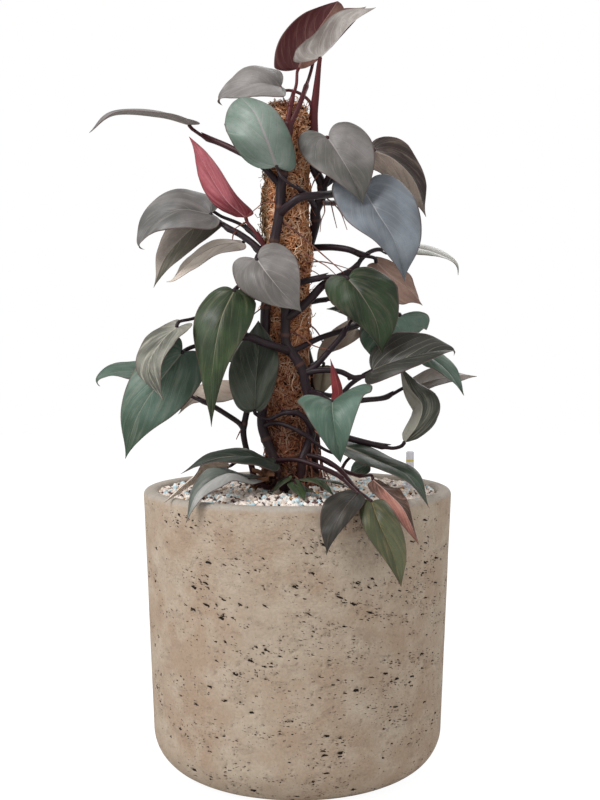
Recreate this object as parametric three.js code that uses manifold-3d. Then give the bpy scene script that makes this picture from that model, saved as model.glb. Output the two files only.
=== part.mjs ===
// A red-leaved climbing philodendron on a coir pole, in a washed concrete planter with a water gauge.
// Millimetres, +Z up, +Y away from the viewer. The origin is the middle of the planter's flat foot.

import * as THREE from 'three';
import { mergeVertices } from 'three/addons/utils/BufferGeometryUtils.js';
import Module from 'manifold-3d';

const wasm = await Module();
wasm.setup();

// Driving dimensions
const pieceGap = 0.3;
const planter = {
  rimRadius: 145, height: 262, wall: 14, floor: 16, footRadius: 136.5, footRound: 38, lipRound: 5, facets: 48,
};
const substrate = { levelAtWall: 256, levelAtPlant: 263 };
const rootBall = { centre: [-10, -6], bottom: 150, level: 262, top: 283, radius: 50, facets: 20 };
const pole = {
  centre: [-9.5, 0], radius: 19, bore: 10.3, top: 622, bottom: 226, facets: 20,
  stakeTop: 612, stakeBottom: 172,
};
const gauge = {
  centre: [107.5, 5], foot: 23, radius: 3.8, bore: 3, top: 295, facets: 12,
  collarRadius: 8, collarLevel: 259, collarHeight: 4,
  rodRadius: 1.1, rodTop: 288, floatRadius: 2.6, floatLength: 34,
};
const blade = { thickness: 0.8, arch: 0.05, columns: 2, steps: 30 };
const stalk = { facets: 6, stepLength: 18, tipGap: 1.5, neckDrop: 4.2, neckBack: 2.5, sheathNeck: 0.04 };
const stem = { facets: 8, radius: 4.8, stepLength: 24 };

// Half a blade's outline: how far along the midrib, and how far across to the edge, from the lobe beside the
// stalk to the tip
const outline = [
  [-0.13, 0.32], [-0.12, 0.72], [0.05, 0.96], [0.27, 1], [0.52, 0.78], [0.76, 0.36], [0.9, 0.12], [1, 0],
];
const widest = 3;

// Each leaf: the midrib from stalk to tip, then the left and right edge abreast of the midrib's second point,
// seen on the upper face with the tip pointing up
const leaves = {
  leaf_top_1: {
    midrib: [[1, -8, 653], [11, -6, 676], [38, 10, 720]], left: [34, 8, 685],
    right: [-16, -2, 679],
  },
  leaf_top_2: {
    midrib: [[21, -22, 660], [32, -26, 670], [50, -24, 691], [72, -16, 707]], left: [27, -4, 684],
    right: [8, -38, 671],
  },
  leaf_top_3: {
    midrib: [[19, 16, 681], [41, 28, 707], [66, 34, 722]], left: [53, 42, 707],
    right: [35, 32, 718],
  },
  leaf_top_4: {
    midrib: [[-16, 1, 638], [-37, -6, 640], [-58, -4, 634], [-80, 6, 625]], left: [-36, -28, 623],
    right: [-41, 14, 661],
  },
  leaf_sage: {
    midrib: [[-19, -44, 558], [-28, -60, 581], [-37, -54, 603], [-49, -26, 619]], left: [-64, -48, 588],
    right: [-5, -44, 583], lobe: 0.4, approach: 'along',
  },
  leaf_level: {
    midrib: [[-103, 10, 605], [-129, 0, 610], [-169, -15, 609], [-191, -25, 591]], left: [-127, -32, 607],
    right: [-133, 30, 621],
  },
  leaf_pink: {
    midrib: [[-48, -16, 515], [-69, -26, 535], [-100, -16, 589]],
    left: [-60, -42, 539], right: [-85, -10, 530],
    lobe: 0.6,
  },
  leaf_blue_1: {
    midrib: [[-82, -6, 519], [-111, -14, 522], [-138, -10, 507], [-154, 0, 484]], left: [-109, -32, 503],
    right: [-119, 4, 542], lobe: 0.7,
  },
  leaf_brown_1: {
    midrib: [[-83, 6, 519], [-106, 0, 500], [-126, 4, 477], [-137, 10, 451]], left: [-125, 16, 510],
    right: [-92, -8, 491], lobe: 0.25,
  },
  leaf_beige_1: {
    midrib: [[-52, 12, 494], [-78, 10, 490], [-102, 8, 475], [-123, 6, 454]], left: [-87, 34, 499],
    right: [-72, -4, 479], lobe: 0.7,
  },
  leaf_grey_1: {
    midrib: [[28, -30, 585], [37, -38, 570], [49, -42, 549], [60, -34, 524]], left: [68, -30, 582],
    right: [7, -36, 565],
  },
  leaf_brown_2: {
    midrib: [[73, 10, 580], [92, 8, 571], [111, 10, 551], [122, 10, 518]], left: [80, -4, 556],
    right: [107, 34, 590], lobe: 0.6,
  },
  leaf_blue_2: {
    midrib: [[62, -22, 538], [73, -34, 517], [89, -36, 490], [99, -24, 455]], left: [109, -26, 529],
    right: [40, -35, 517], lobe: 0.8,
  },
  leaf_pale_1: {
    midrib: [[91, 22, 488], [115, 22, 489], [142, 20, 481], [160, 18, 467]], left: [121, 48, 496],
    right: [115, -4, 481],
  },
  leaf_grey_2: {
    midrib: [[-36, -50, 473], [-27, -58, 460], [-12, -58, 442], [4, -52, 426]], left: [-1, -52, 475],
    right: [-51, -54, 446],
  },
  leaf_green_1: {
    midrib: [[46, -46, 456], [58, -58, 440], [71, -54, 417], [77, -42, 388]], left: [91, -44, 447],
    right: [34, -52, 431], lobe: 0.8,
  },
  leaf_brown_3: {
    midrib: [[74, -2, 474], [90, 2, 460], [107, 6, 448], [119, 8, 434]], left: [88, -16, 438],
    right: [107, 22, 465],
  },
  leaf_small_1: {
    midrib: [[60, -18, 425], [46, -20, 428], [27, -22, 430]], left: [46, -30, 422], right: [47, -12, 434],
  },
  leaf_green_2: {
    midrib: [[97, 8, 424], [88, 0, 411], [72, -4, 379]], left: [121, 12, 412],
    right: [58, -4, 410],
  },
  leaf_olive_1: {
    midrib: [[69, -28, 373], [90, -40, 382], [123, -42, 390], [150, -28, 392]], left: [97, -18, 408],
    right: [89, -58, 365], lobe: 0.8,
  },
  leaf_beige_2: {
    midrib: [[113, 14, 357], [133, 16, 363], [155, 18, 367], [173, 20, 366]], left: [134, -3, 359],
    right: [136, 42, 374],
  },
  leaf_green_3: {
    midrib: [[114, -2, 392], [129, 0, 382], [144, -4, 369], [157, -8, 349]], left: [139, 16, 387],
    right: [122, -16, 375],
  },
  leaf_twisted: {
    midrib: [[100, -20, 306], [111, -28, 323], [115, -28, 341], [104, -20, 357], [96, -10, 377]],
    left: [108, -5, 331], right: [131, -18, 329], lobe: 0.15, approach: 'along', tipGap: 0.7,
  },
  leaf_kite: {
    midrib: [[31, -70, 346], [31, -88, 336], [34, -92, 314], [38, -84, 293]], left: [60, -84, 350],
    right: [3, -88, 338],
  },
  leaf_red: {
    midrib: [[36, -44, 343], [37, -45, 357], [30, -42, 384]], left: [31, -42, 359], right: [41, -40, 357],
    lobe: 0.15, approach: 'along', tipGap: 0.7,
  },
  leaf_olive_2: {
    midrib: [[24, -2, 376], [23, -4, 363], [20, -6, 346]],
    left: [33, -8, 361], right: [15, -2, 361], lobe: 0.4,
  },
  leaf_beige_3: {
    midrib: [[55, 12, 412], [37, 12, 400], [26, 10, 390], [17, 8, 377]],
    left: [44, 2, 394], right: [30, 18, 407],
    lobe: 0.3, approach: 'along',
  },
  leaf_green_4: {
    midrib: [[-57, -54, 445], [-68, -70, 417], [-75, -74, 372], [-77, -62, 323]], left: [-45, -62, 408],
    right: [-93, -60, 412], lobe: 0.35,
  },
  leaf_silver: {
    midrib: [[-108, -58, 412], [-120, -70, 399], [-130, -84, 376], [-117, -86, 348]], left: [-134, -52, 403],
    right: [-111, -88, 395],
  },
  leaf_green_5: {
    midrib: [[-105, -44, 389], [-125, -58, 362], [-144, -60, 331], [-156, -52, 293]], left: [-102, -52, 342],
    right: [-148, -48, 374], lobe: 0.7,
  },
  leaf_green_6: {
    midrib: [[-125, 6, 371], [-154, 0, 372], [-177, -5, 370], [-195, -10, 360]], left: [-151, -16, 363],
    right: [-157, 16, 381],
  },
  leaf_dark_1: {
    midrib: [[-39, -36, 337], [-38, -40, 361], [-36, -32, 390], [-36, -28, 419]], left: [-63, -36, 365],
    right: [-18, -38, 370],
  },
  leaf_beige_4: {
    midrib: [[-58, 22, 350], [-80, 22, 349], [-99, 20, 343], [-115, 16, 330]], left: [-81, 2, 342],
    right: [-84, 40, 360],
  },
  leaf_long_1: {
    midrib: [[-23, -48, 288], [-46, -61, 296], [-74, -68, 295], [-104, -70, 282]], left: [-45, -84, 291],
    right: [-49, -40, 300], lobe: 0.4,
  },
  leaf_pale_2: {
    midrib: [[-66, -8, 282], [-87, -40, 281], [-101, -76, 272], [-115, -101, 260]], left: [-93, -36, 270],
    right: [-88, -58, 287], lobe: 0.2, approach: 'along',
  },
  leaf_grey_3: {
    midrib: [[-44, -62, 276], [-66, -88, 282], [-84, -118, 272], [-94, -126, 246]], left: [-60, -106, 276],
    right: [-67, -64, 286],
  },
  leaf_long_2: {
    midrib: [[44, -32, 302], [70, -50, 292], [98, -80, 280], [114, -106, 256]], left: [80, -30, 296],
    right: [60, -68, 289],
  },
  leaf_dark_2: {
    midrib: [[50, -132, 272], [39, -154, 263], [29, -160, 245], [24, -158, 225]], left: [46, -158, 256],
    right: [20, -152, 261], lobe: 0.2,
  },
  leaf_gold: {
    midrib: [[62, -136, 266], [67, -152, 251], [78, -154, 226], [86, -150, 197]], left: [82, -145, 255],
    right: [52, -150, 253], lobe: 0.1,
  },
  leaf_folded: {
    midrib: [[67, -78, 277], [77, -112, 270], [89, -134, 258], [102, -134, 229]], left: [69, -118, 266],
    right: [89, -90, 271], lobe: 0.3,
  },
  leaf_small_2: {
    midrib: [[68, -12, 286], [59, -10, 282], [49, -8, 275]],
    left: [60, -18, 275], right: [56, 0, 286], lobe: 0.3,
    approach: 'along', tipGap: 0.7,
  },
  leaf_back_1: {
    midrib: [[53, 46, 533], [65, 72, 520], [89, 96, 488]], left: [49, 82, 513],
    right: [87, 80, 527],
  },
  leaf_back_2: {
    midrib: [[-19, 46, 484], [-26, 74, 474], [-37, 100, 453]], left: [-44, 82, 471], right: [-6, 84, 473],
  },
  leaf_back_3: {
    midrib: [[-51, 44, 401], [-66, 70, 402], [-90, 98, 398]], left: [-66, 74, 379], right: [-69, 78, 424],
  },
  leaf_back_4: {
    midrib: [[52, 46, 441], [65, 72, 442], [87, 100, 437]], left: [65, 80, 464],
    right: [63, 78, 420],
  },
  leaf_back_5: {
    midrib: [[-23, 44, 589], [-32, 72, 603], [-47, 94, 626]], left: [-54, 76, 600], right: [-14, 80, 619],
  },
};

// Climbing stems, from the top down into the root ball
const stems = {
  stem_left: [
    [-8, -28, 600], [-10, -27, 584], [-12, -26, 561], [-15, -25, 542], [-16, -25, 522], [-21, -24, 493],
    [-25, -21, 466], [-29, -19, 438], [-30, -18, 415], [-31, -18, 382], [-32, -18, 345], [-33, -18, 322],
    [-28, -21, 306], [-21, -25, 290], [-18, -27, 275], [-17, -28, 253],
  ],
  stem_front: [
    [-8, -28, 452], [-10, -27, 437], [-11, -26, 408], [-10, -26, 396], [-4, -27, 388], [5, -26, 373],
    [7, -25, 362], [10, -24, 350], [13, -23, 317], [10, -23, 303], [5, -25, 291], [4, -26, 276],
      [4, -26, 252],
  ],
  stem_right: [
    [15, -6, 589], [15, -4, 565], [23, -2, 546], [22, -2, 534], [17, -2, 523], [17, 4, 513], [13, 15, 497],
    [5, 24, 476], [2, 26, 440], [6, 24, 401], [13, 16, 372], [16, 8, 353], [17, 6, 325], [16, 6, 296],
    [15, 6, 275], [14, 6, 248],
  ],
  stem_low: [
    [-47, -6, 337], [-50, -7, 323], [-51, -8, 314], [-48, -6, 297], [-44, -4, 284], [-41, -3, 268],
      [-40, -3, 254],
  ],
};

// Each leaf's stalk: its stem, the way from that stem to the blade, the radius at the stem and at the blade,
// and how much of its length the sheath covers
const stalks = [
  ['leaf_top_1', 'stem_left', [[-9, -27, 600], [-5, -24, 621], [-1, -18, 636]], 3, 1.6, 0.4],
  ['leaf_top_3', 'stem_left', [[-7, -28, 596], [3, -21, 620], [8, -5, 637], [13, 10, 656]], 3, 1.7, 0.5],
  ['leaf_level', 'stem_left',
    [[-15, -25, 542], [-33, -19, 562], [-64, 0, 582], [-78, 7, 589], [-88, 9, 593],
      [-97, 10, 599]], 3.8, 1.8, 0.8],
  ['leaf_pink', 'stem_left', [[-26, -20, 471], [-31, -23, 488], [-40, -24, 502]], 3.2, 1.8, 0.5],
  ['leaf_blue_1', 'stem_left',
    [[-26, -20, 466], [-33, -21, 482], [-53, -15, 499], [-68, -10, 507]], 4, 2.2, 0.7],
  ['leaf_brown_1', 'stem_left', [[-24, -22, 479], [-33, -8, 492], [-53, 4, 510], [-72, 5, 518]], 3, 1.8, 0.5],
  ['leaf_beige_1', 'stem_left', [[-26, -18, 468], [-33, -8, 480], [-41, -3, 488]], 2.8, 1.8, 0.5],
  ['leaf_blue_2', 'stem_left',
    [[-16, -25, 517], [-10, -33, 522], [2, -38, 530], [18, -31, 533], [34, -12, 537],
      [52, -8, 540]], 4.6, 2.5, 0.7],
  ['leaf_grey_2', 'stem_left', [[-23, -23, 484], [-29, -34, 483], [-35, -44, 479]], 3.4, 2, 0.5],
  ['leaf_green_4', 'stem_left', [[-28, -20, 449], [-41, -36, 453], [-51, -46, 451]], 3.6, 2.2, 0.5],
  ['leaf_silver', 'stem_left',
    [[-29, -19, 444], [-43, -34, 439], [-66, -44, 430], [-83, -48, 424], [-95, -50, 420]], 3.4, 1.6, 0.5],
  ['leaf_long_1', 'stem_left', [[-20, -26, 282], [-20, -38, 283]], 3.2, 2.2, 0.5],
  ['leaf_grey_3', 'stem_left', [[-18, -27, 273], [-25, -42, 266], [-36, -54, 271]], 3, 2, 0.5],
  ['leaf_long_2', 'stem_left',
    [[-33, -18, 317], [-27, -24, 323], [-16, -30, 324], [2, -37, 317], [26, -37, 300],
      [35, -34, 297]], 3.6, 2.2, 0.5],
  ['leaf_dark_2', 'stem_left',
    [[-22, -25, 289], [-2, -44, 292], [20, -60, 287], [36, -86, 282], [43, -112, 278]], 4.4, 2.6, 0.7],
  ['leaf_back_3', 'stem_left', [[-31, -18, 394], [-42, 10, 398], [-47, 28, 401]], 3, 2, 0.5],

  ['leaf_pale_1', 'stem_front',
    [[-10, -27, 421], [0, -31, 428], [12, -32, 439], [23, -28, 451], [33, -21, 457], [44, -14, 462],
      [54, -8, 468],
      [60, 0, 477], [69, 10, 485], [79, 18, 488]], 4.6, 2.3, 0.6],
  ['leaf_green_1', 'stem_front', [[-8, -28, 451], [12, -33, 456], [32, -35, 459]], 3.6, 2.1, 0.5],
  ['leaf_small_1', 'stem_front',
    [[5, -26, 371], [14, -28, 375], [30, -30, 392], [45, -26, 410], [51, -22, 420]], 3.4, 1.5, 0.6],
  ['leaf_green_2', 'stem_front',
    [[-7, -27, 391], [0, -24, 393], [21, -16, 403], [45, -9, 411], [58, 4, 416], [75, 12, 420],
      [88, 15, 424]],
    3.2, 2, 0.6],
  ['leaf_olive_1', 'stem_front',
    [[5, -26, 370], [21, -31, 373], [39, -33, 372], [54, -28, 366]], 3.2, 2, 0.75],
  ['leaf_beige_2', 'stem_front',
    [[10, -24, 347], [35, -24, 342], [63, -14, 345], [83, -4, 347], [100, 6, 355]], 3.2, 1.9, 0.7],
  ['leaf_green_3', 'stem_front',
    [[9, -24, 355], [31, -10, 349], [41, -4, 350], [50, -2, 359], [60, 0, 366], [78, 4, 375], [97, 2, 384]],
    2.8, 1.6, 0.6],
  ['leaf_twisted', 'stem_front',
    [[12, -23, 319], [30, -28, 316], [45, -28, 311], [79, -20, 302], [90, -17, 300]], 3.8, 1.9, 0.75],
  ['leaf_kite', 'stem_front', [[10, -24, 352], [17, -40, 352], [25, -56, 349]], 3.2, 2, 0.5],
  ['leaf_red', 'stem_front', [[34, -24, 342], [37, -34, 338]], 2.4, 1.8, 0.5],
  ['leaf_olive_2', 'stem_front', [[7, -24, 364], [15, -14, 378]], 2.4, 1.6, 0.5],
  ['leaf_beige_3', 'stem_front', [[45, -9, 411], [56, 2, 414], [61, 11, 416]], 2.2, 1.5, 0.5],
  ['leaf_green_5', 'stem_front',
    [[-7, -27, 390], [-20, -38, 395], [-32, -43, 399], [-45, -47, 404], [-68, -43, 400], [-88, -32, 397],
      [-98, -35, 394]],
    4.6, 2.2, 0.6],
  ['leaf_dark_1', 'stem_front',
    [[13, -23, 310], [12, -30, 321], [2, -34, 333], [-12, -34, 334], [-28, -31, 328]], 3.2, 2, 0.5],
  ['leaf_gold', 'stem_front',
    [[6, -24, 295], [23, -36, 292], [38, -54, 284], [50, -92, 272], [57, -122, 269]],
    4.4, 2.4, 0.7],
  ['leaf_folded', 'stem_front',
    [[9, -23, 301], [23, -22, 290], [39, -30, 282], [57, -54, 278]], 3.6, 2.2, 0.7],
  ['leaf_small_2', 'stem_front',
    [[41, -31, 282], [46, -24, 289], [54, -18, 294], [64, -15, 294], [72, -14, 291]], 1.8, 1.2, 0.5],

  ['leaf_top_4', 'stem_right', [[15, -6, 588], [16, -2, 606], [12, 2, 624], [2, 4, 633], [-8, 5, 636]],
    2.8, 1.6, 0.4],
  ['leaf_top_2', 'stem_right', [[15, -6, 586], [15, -9, 610], [17, -12, 628], [19, -17, 646]], 5, 1.7, 0.75],
  ['leaf_sage', 'stem_right', [[17, -4, 525], [11, -20, 532], [3, -34, 537], [-7, -44, 542], [-15, -44, 549]],
    3.4, 1.5, 0.5],
  ['leaf_grey_1', 'stem_right', [[23, -2, 540], [30, -12, 557], [31, -20, 574]], 3.4, 2, 0.5],
  ['leaf_brown_2', 'stem_right', [[23, -2, 544], [35, 4, 554], [52, 3, 571], [64, 1, 581]], 3.2, 1.8, 0.5],
  ['leaf_brown_3', 'stem_right', [[10, 16, 489], [23, 6, 489], [35, -4, 488], [49, -12, 485], [61, -12, 480]],
    4, 1.9, 0.75],
  ['leaf_back_1', 'stem_right', [[20, -2, 530], [36, 26, 533]], 3.2, 2, 0.5],
  ['leaf_back_2', 'stem_right', [[5, 23, 480], [-7, 32, 483]], 3, 2, 0.5],
  ['leaf_back_4', 'stem_right', [[3, 26, 436], [30, 36, 441]], 3, 2, 0.5],
  ['leaf_back_5', 'stem_right', [[15, -4, 571], [15, 12, 577], [4, 28, 584], [-11, 38, 587]], 3, 2, 0.5],

  ['leaf_green_6', 'stem_low',
    [[-51, -8, 317], [-54, -8, 322], [-67, -6, 331], [-84, -4, 341], [-101, 0, 348],
      [-114, 4, 359]], 3, 1.8, 0.5],
  ['leaf_beige_4', 'stem_low', [[-47, -6, 337], [-49, 8, 345]], 2.6, 1.8, 0.5],
  ['leaf_pale_2', 'stem_low', [[-47, -6, 290], [-56, 0, 287]], 2.8, 1.8, 0.5],
];

// Young shoots round a short crown at the foot of the plant: midrib, half width and where the stalk starts
const crown = { foot: [-12, -40, 236], top: [-12, -41, 270], radius: 4.5, facets: 8 };
const shoots = [
  { midrib: [[-9, -57, 277], [-16, -62, 272], [-24, -64, 262]], halfWidth: 6 },
  { midrib: [[-3, -60, 274], [1, -75, 269], [7, -92, 260]], halfWidth: 6.5 },
  { midrib: [[9, -62, 276], [20, -74, 276], [33, -78, 262]], halfWidth: 8 },
  { midrib: [[20, -44, 275], [33, -52, 273], [48, -56, 267]], halfWidth: 5 },
  { midrib: [[3, -56, 269], [9, -64, 267], [17, -70, 264]], halfWidth: 5 },
];

const vector = (p) => new THREE.Vector3(...p);

// A closed solid from any geometry, with shared corners merged and flat triangles dropped
function toSolid(geometry) {
  const bare = geometry.clone();
  bare.deleteAttribute('normal');
  bare.deleteAttribute('uv');
  const merged = mergeVertices(bare, 1e-3);
  const corners = merged.index.array;
  const kept = [];
  for (let i = 0; i < corners.length; i += 3) {
    const [a, b, c] = corners.slice(i, i + 3);
    if (a !== b && b !== c && c !== a) kept.push(a, b, c);
  }
  const vertProperties = new Float32Array(merged.attributes.position.array);
  return new wasm.Manifold(new wasm.Mesh({ numProp: 3, vertProperties, triVerts: new Uint32Array(kept) }));
}

function toGeometry(solid) {
  const mesh = solid.getMesh();
  const geometry = new THREE.BufferGeometry();
  const positions = new Float32Array(mesh.numVert * 3);
  for (let i = 0; i < mesh.numVert; i++) {
    for (let k = 0; k < 3; k++) positions[3 * i + k] = mesh.vertProperties[mesh.numProp * i + k];
  }
  geometry.setAttribute('position', new THREE.BufferAttribute(positions, 3));
  geometry.setIndex(new THREE.BufferAttribute(new Uint32Array(mesh.triVerts), 1));
  return geometry;
}

// A shape turned about the vertical through a centre, from [radius, height] points
function turned(profile, facets, [x, y] = [0, 0]) {
  const lathe = new THREE.LatheGeometry(profile.map(([r, z]) => new THREE.Vector2(r, z)), facets);
  return lathe.rotateX(Math.PI / 2).translate(x, y, 0);
}

// Points on a quarter round about [r, z], from one angle to another in degrees
function roundPoints(r, z, radius, from, to, steps) {
  return Array.from({ length: steps + 1 }, (_, i) => {
    const angle = THREE.MathUtils.degToRad(from + ((to - from) * i) / steps);
    return [r + radius * Math.cos(angle), z + radius * Math.sin(angle)];
  });
}

// A closed tube along a smooth path, ringed at every given point, with its radius at each fraction of its run
function tube(path, radiusAt, facets, stepLength) {
  const points = path.map(vector);
  const curve = new THREE.CatmullRomCurve3(points, false, 'centripetal');
  const stations = [0];
  points.slice(1).forEach((p, i) => {
    const steps = Math.max(1, Math.round(p.distanceTo(points[i]) / stepLength));
    for (let k = 1; k <= steps; k++) stations.push((i + k / steps) / (points.length - 1));
  });
  const middles = stations.map((u) => curve.getPoint(u));
  const lengths = middles.map((p, i) => (i === 0 ? 0 : p.distanceTo(middles[i - 1])));
  const total = lengths.reduce((sum, l) => sum + l, 0);

  let along = curve.getTangent(0);
  const normal = new THREE.Vector3(0.3, 1, 0.2).cross(along).normalize();
  let run = 0;
  const positions = [];
  middles.forEach((middle, i) => {
    const next = curve.getTangent(stations[i]);
    normal.applyQuaternion(new THREE.Quaternion().setFromUnitVectors(along, next));
    along = next;
    run += lengths[i];
    const binormal = along.clone().cross(normal);
    for (let k = 0; k < facets; k++) {
      const angle = (2 * Math.PI * k) / facets;
      const out = normal.clone().multiplyScalar(Math.cos(angle)).addScaledVector(binormal, Math.sin(angle));
      positions.push(middle.clone().addScaledVector(out, radiusAt(run / total)));
    }
  });

  const faces = [];
  const last = (stations.length - 1) * facets;
  for (let i = 0; i < last; i += facets) {
    for (let k = 0; k < facets; k++) {
      const a = i + k;
      const b = i + ((k + 1) % facets);
      faces.push(a, b, a + facets, b, b + facets, a + facets);
    }
  }
  for (let k = 1; k < facets - 1; k++) faces.push(0, k + 1, k, last, last + k, last + k + 1);
  return new THREE.BufferGeometry().setFromPoints(positions).setIndex(faces);
}

// The midrib as a run of short steps, each with its length so far and its turn from the first direction
function midribOf(points) {
  const curve = new THREE.CatmullRomCurve3(points.map(vector), false, 'catmullrom', 0.5);
  const count = blade.steps;
  const stops = Array.from({ length: count + 1 }, (_, i) => ({ at: curve.getPoint(i / count) }));
  let turn = new THREE.Quaternion();
  let length = 0;
  stops.forEach((stop, i) => {
    stop.along = curve.getTangent(i / count);
    if (i > 0) {
      length += stop.at.distanceTo(stops[i - 1].at);
      const bend = new THREE.Quaternion().setFromUnitVectors(stops[i - 1].along, stop.along);
      turn = bend.multiply(turn);
    }
    stop.length = length;
    stop.turn = turn.clone();
  });
  return { stops, length, second: stops[Math.round(count / (points.length - 1))] };
}

// The place, direction and turn at a fraction of the midrib's length; less than 0 runs back past the stalk
function onMidrib({ stops, length }, fraction) {
  const target = Math.max(fraction, 0) * length;
  const after = Math.max(1, stops.findIndex((stop, i) => i > 0 && stop.length >= target - 1e-6));
  const [a, b] = [stops[after - 1], stops[after]];
  const part = Math.min(1, (target - a.length) / (b.length - a.length));
  const at = a.at.clone().lerp(b.at, part);
  const along = a.along.clone().lerp(b.along, part).normalize();
  if (fraction < 0) at.addScaledVector(along, fraction * length);
  return { at, along, turn: a.turn.clone().slerp(b.turn, part) };
}

// How far across the outline reaches at a fraction of the length, past its widest lobe
function reach(fraction) {
  const i = outline.findIndex(([along], k) => k >= widest && along >= fraction);
  const [[a0, c0], [a1, c1]] = [outline[i - 1], outline[i]];
  return c0 + ((c1 - c0) * (fraction - a0)) / (a1 - a0);
}

// A blade's midrib, with its two sides and its upper face as they stand where it joins the stalk
function bladeFrame({ midrib, left, right }) {
  const rib = midribOf(midrib);
  const { second } = rib;
  const across = reach(second.length / rib.length);
  const back = second.turn.clone().invert();
  const sides = [right, left].map((edge) => {
    return vector(edge).sub(second.at).divideScalar(across).applyQuaternion(back);
  });
  const width = sides[0].clone().sub(sides[1]);
  const face = width.clone().cross(second.along.clone().applyQuaternion(back)).normalize();
  return { rib, sides, face, width: width.length() };
}

// A blade: rows run from the midrib to the outline and sweep towards the tip, and each half arches a little
function bladeGeometry(leaf, columns = blade.columns) {
  const { rib, sides, face, width } = bladeFrame(leaf);
  const archHeight = blade.arch * width;
  const { lobe = 1 } = leaf;

  const place = (fraction, c, half) => {
    const { at, turn } = onMidrib(rib, fraction);
    at.addScaledVector(sides[half].clone().applyQuaternion(turn), c);
    return at.addScaledVector(face.clone().applyQuaternion(turn), archHeight * 4 * c * (1 - c));
  };
  const grid = [0, 1].map((half) => outline.map(([fraction, c]) => {
    const along = fraction < 0 ? fraction * lobe : fraction;
    const start = Math.max(0, along - 0.16 * c);
    return Array.from({ length: columns + 1 }, (_, k) => {
      const s = k / columns;
      return place(start + (along - start) * s, c * s, half);
    });
  }));

  const points = [];
  const number = (p) => {
    const found = points.findIndex((q) => q.distanceToSquared(p) < 1e-4);
    return found >= 0 ? found : points.push(p) - 1;
  };
  const faces = [];
  const addFace = (a, b, c) => {
    if (a !== b && b !== c && c !== a) faces.push([a, b, c]);
  };
  grid.forEach((rows, half) => {
    for (let i = 0; i < rows.length - 1; i++) {
      for (let k = 0; k < columns; k++) {
        const quad = [rows[i][k], rows[i][k + 1], rows[i + 1][k + 1], rows[i + 1][k]].map(number);
        if (half === 1) quad.reverse();
        addFace(quad[0], quad[1], quad[2]);
        addFace(quad[0], quad[2], quad[3]);
      }
    }
  });
  const edges = grid.map((rows) => {
    const besideStalk = rows[0].slice(0, -1).map(number);
    return [...besideStalk, ...rows.map((row) => number(row[columns]))];
  });
  const edge = [...edges[0], ...edges[1].reverse()].filter((p, i, all) => p !== all[i - 1]);
  if (edge[0] === edge[edge.length - 1]) edge.pop();
  return thickened(points, faces, edge);
}

// A sheet given thickness: both faces split alike, and a strip round the edge
function thickened(points, faces, edge) {
  const normals = points.map(() => new THREE.Vector3());
  for (const [a, b, c] of faces) {
    const normal = points[b].clone().sub(points[a]).cross(points[c].clone().sub(points[a]));
    for (const p of [a, b, c]) normals[p].add(normal);
  }
  const offset = (side) => points.map((p, i) => {
    return p.clone().addScaledVector(normals[i].clone().normalize(), (side * blade.thickness) / 2);
  });
  const count = points.length;
  const index = [];
  for (const [a, b, c] of faces) index.push(a, b, c, c + count, b + count, a + count);
  edge.forEach((a, i) => {
    const b = edge[(i + 1) % edge.length];
    index.push(b, a, a + count, b, a + count, b + count);
  });
  return new THREE.BufferGeometry().setFromPoints([...offset(1), ...offset(-1)]).setIndex(index);
}

// A stalk turns into the blade from underneath or straight behind, and stops just short of it
function stalkPath([leaf, , way]) {
  const { rib, face } = bladeFrame(leaves[leaf]);
  const { at: joint, along } = rib.stops[0];
  const { approach = 'under', tipGap = stalk.tipGap } = leaves[leaf];
  const straight = approach === 'along';
  const from = straight ? along : face;
  const neck = joint.clone().addScaledVector(from, -stalk.neckDrop);
  if (!straight) neck.addScaledVector(along, -stalk.neckBack);
  const end = joint.clone().addScaledVector(from, -tipGap);
  return [...way, neck.toArray(), end.toArray()];
}

// It keeps its sheath's girth for part of the way, then thins towards the blade
function stalkRadius(thick, thin, sheath) {
  return (fraction) => {
    const past = THREE.MathUtils.smoothstep(fraction, sheath, sheath + stalk.sheathNeck);
    return THREE.MathUtils.lerp(thick, thin, 0.35 * fraction + 0.65 * past);
  };
}

function stemSolid(name, extra = 0) {
  let solid = toSolid(tube(stems[name], () => stem.radius + extra, stem.facets, stem.stepLength));
  for (const entry of stalks.filter(([, carrier]) => carrier === name)) {
    const [, , , thick, thin, sheath] = entry;
    const radiusAt = stalkRadius(thick, thin, sheath);
    const geometry = tube(stalkPath(entry), (f) => radiusAt(f) + extra, stalk.facets, stalk.stepLength);
    solid = solid.add(toSolid(geometry));
  }
  return solid;
}

function shootSolid(extra = 0) {
  const trunk = tube([crown.foot, crown.top], () => crown.radius + extra, crown.facets, stem.stepLength);
  let solid = toSolid(trunk);
  for (const { midrib, halfWidth } of shoots) {
    const [start, middle, tip] = midrib.map(vector);
    const sideways = tip.clone().sub(start).cross(new THREE.Vector3(0, 0, 1)).setLength(halfWidth);
    const droop = new THREE.Vector3(0, 0, -0.25 * halfWidth);
    const edges = [-1, 1].map((way) => middle.clone().addScaledVector(sideways, way).add(droop).toArray());
    const leaf = { midrib, left: edges[0], right: edges[1] };
    const into = middle.clone().lerp(start, 0.6).toArray();
    const way = [[crown.top[0], crown.top[1], crown.top[2] - 4], midrib[0], into];
    solid = solid.add(toSolid(bladeGeometry(leaf, 1)));
    solid = solid.add(toSolid(tube(way, () => 1.3 + extra, stalk.facets, stalk.stepLength)));
  }
  return solid;
}

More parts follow.
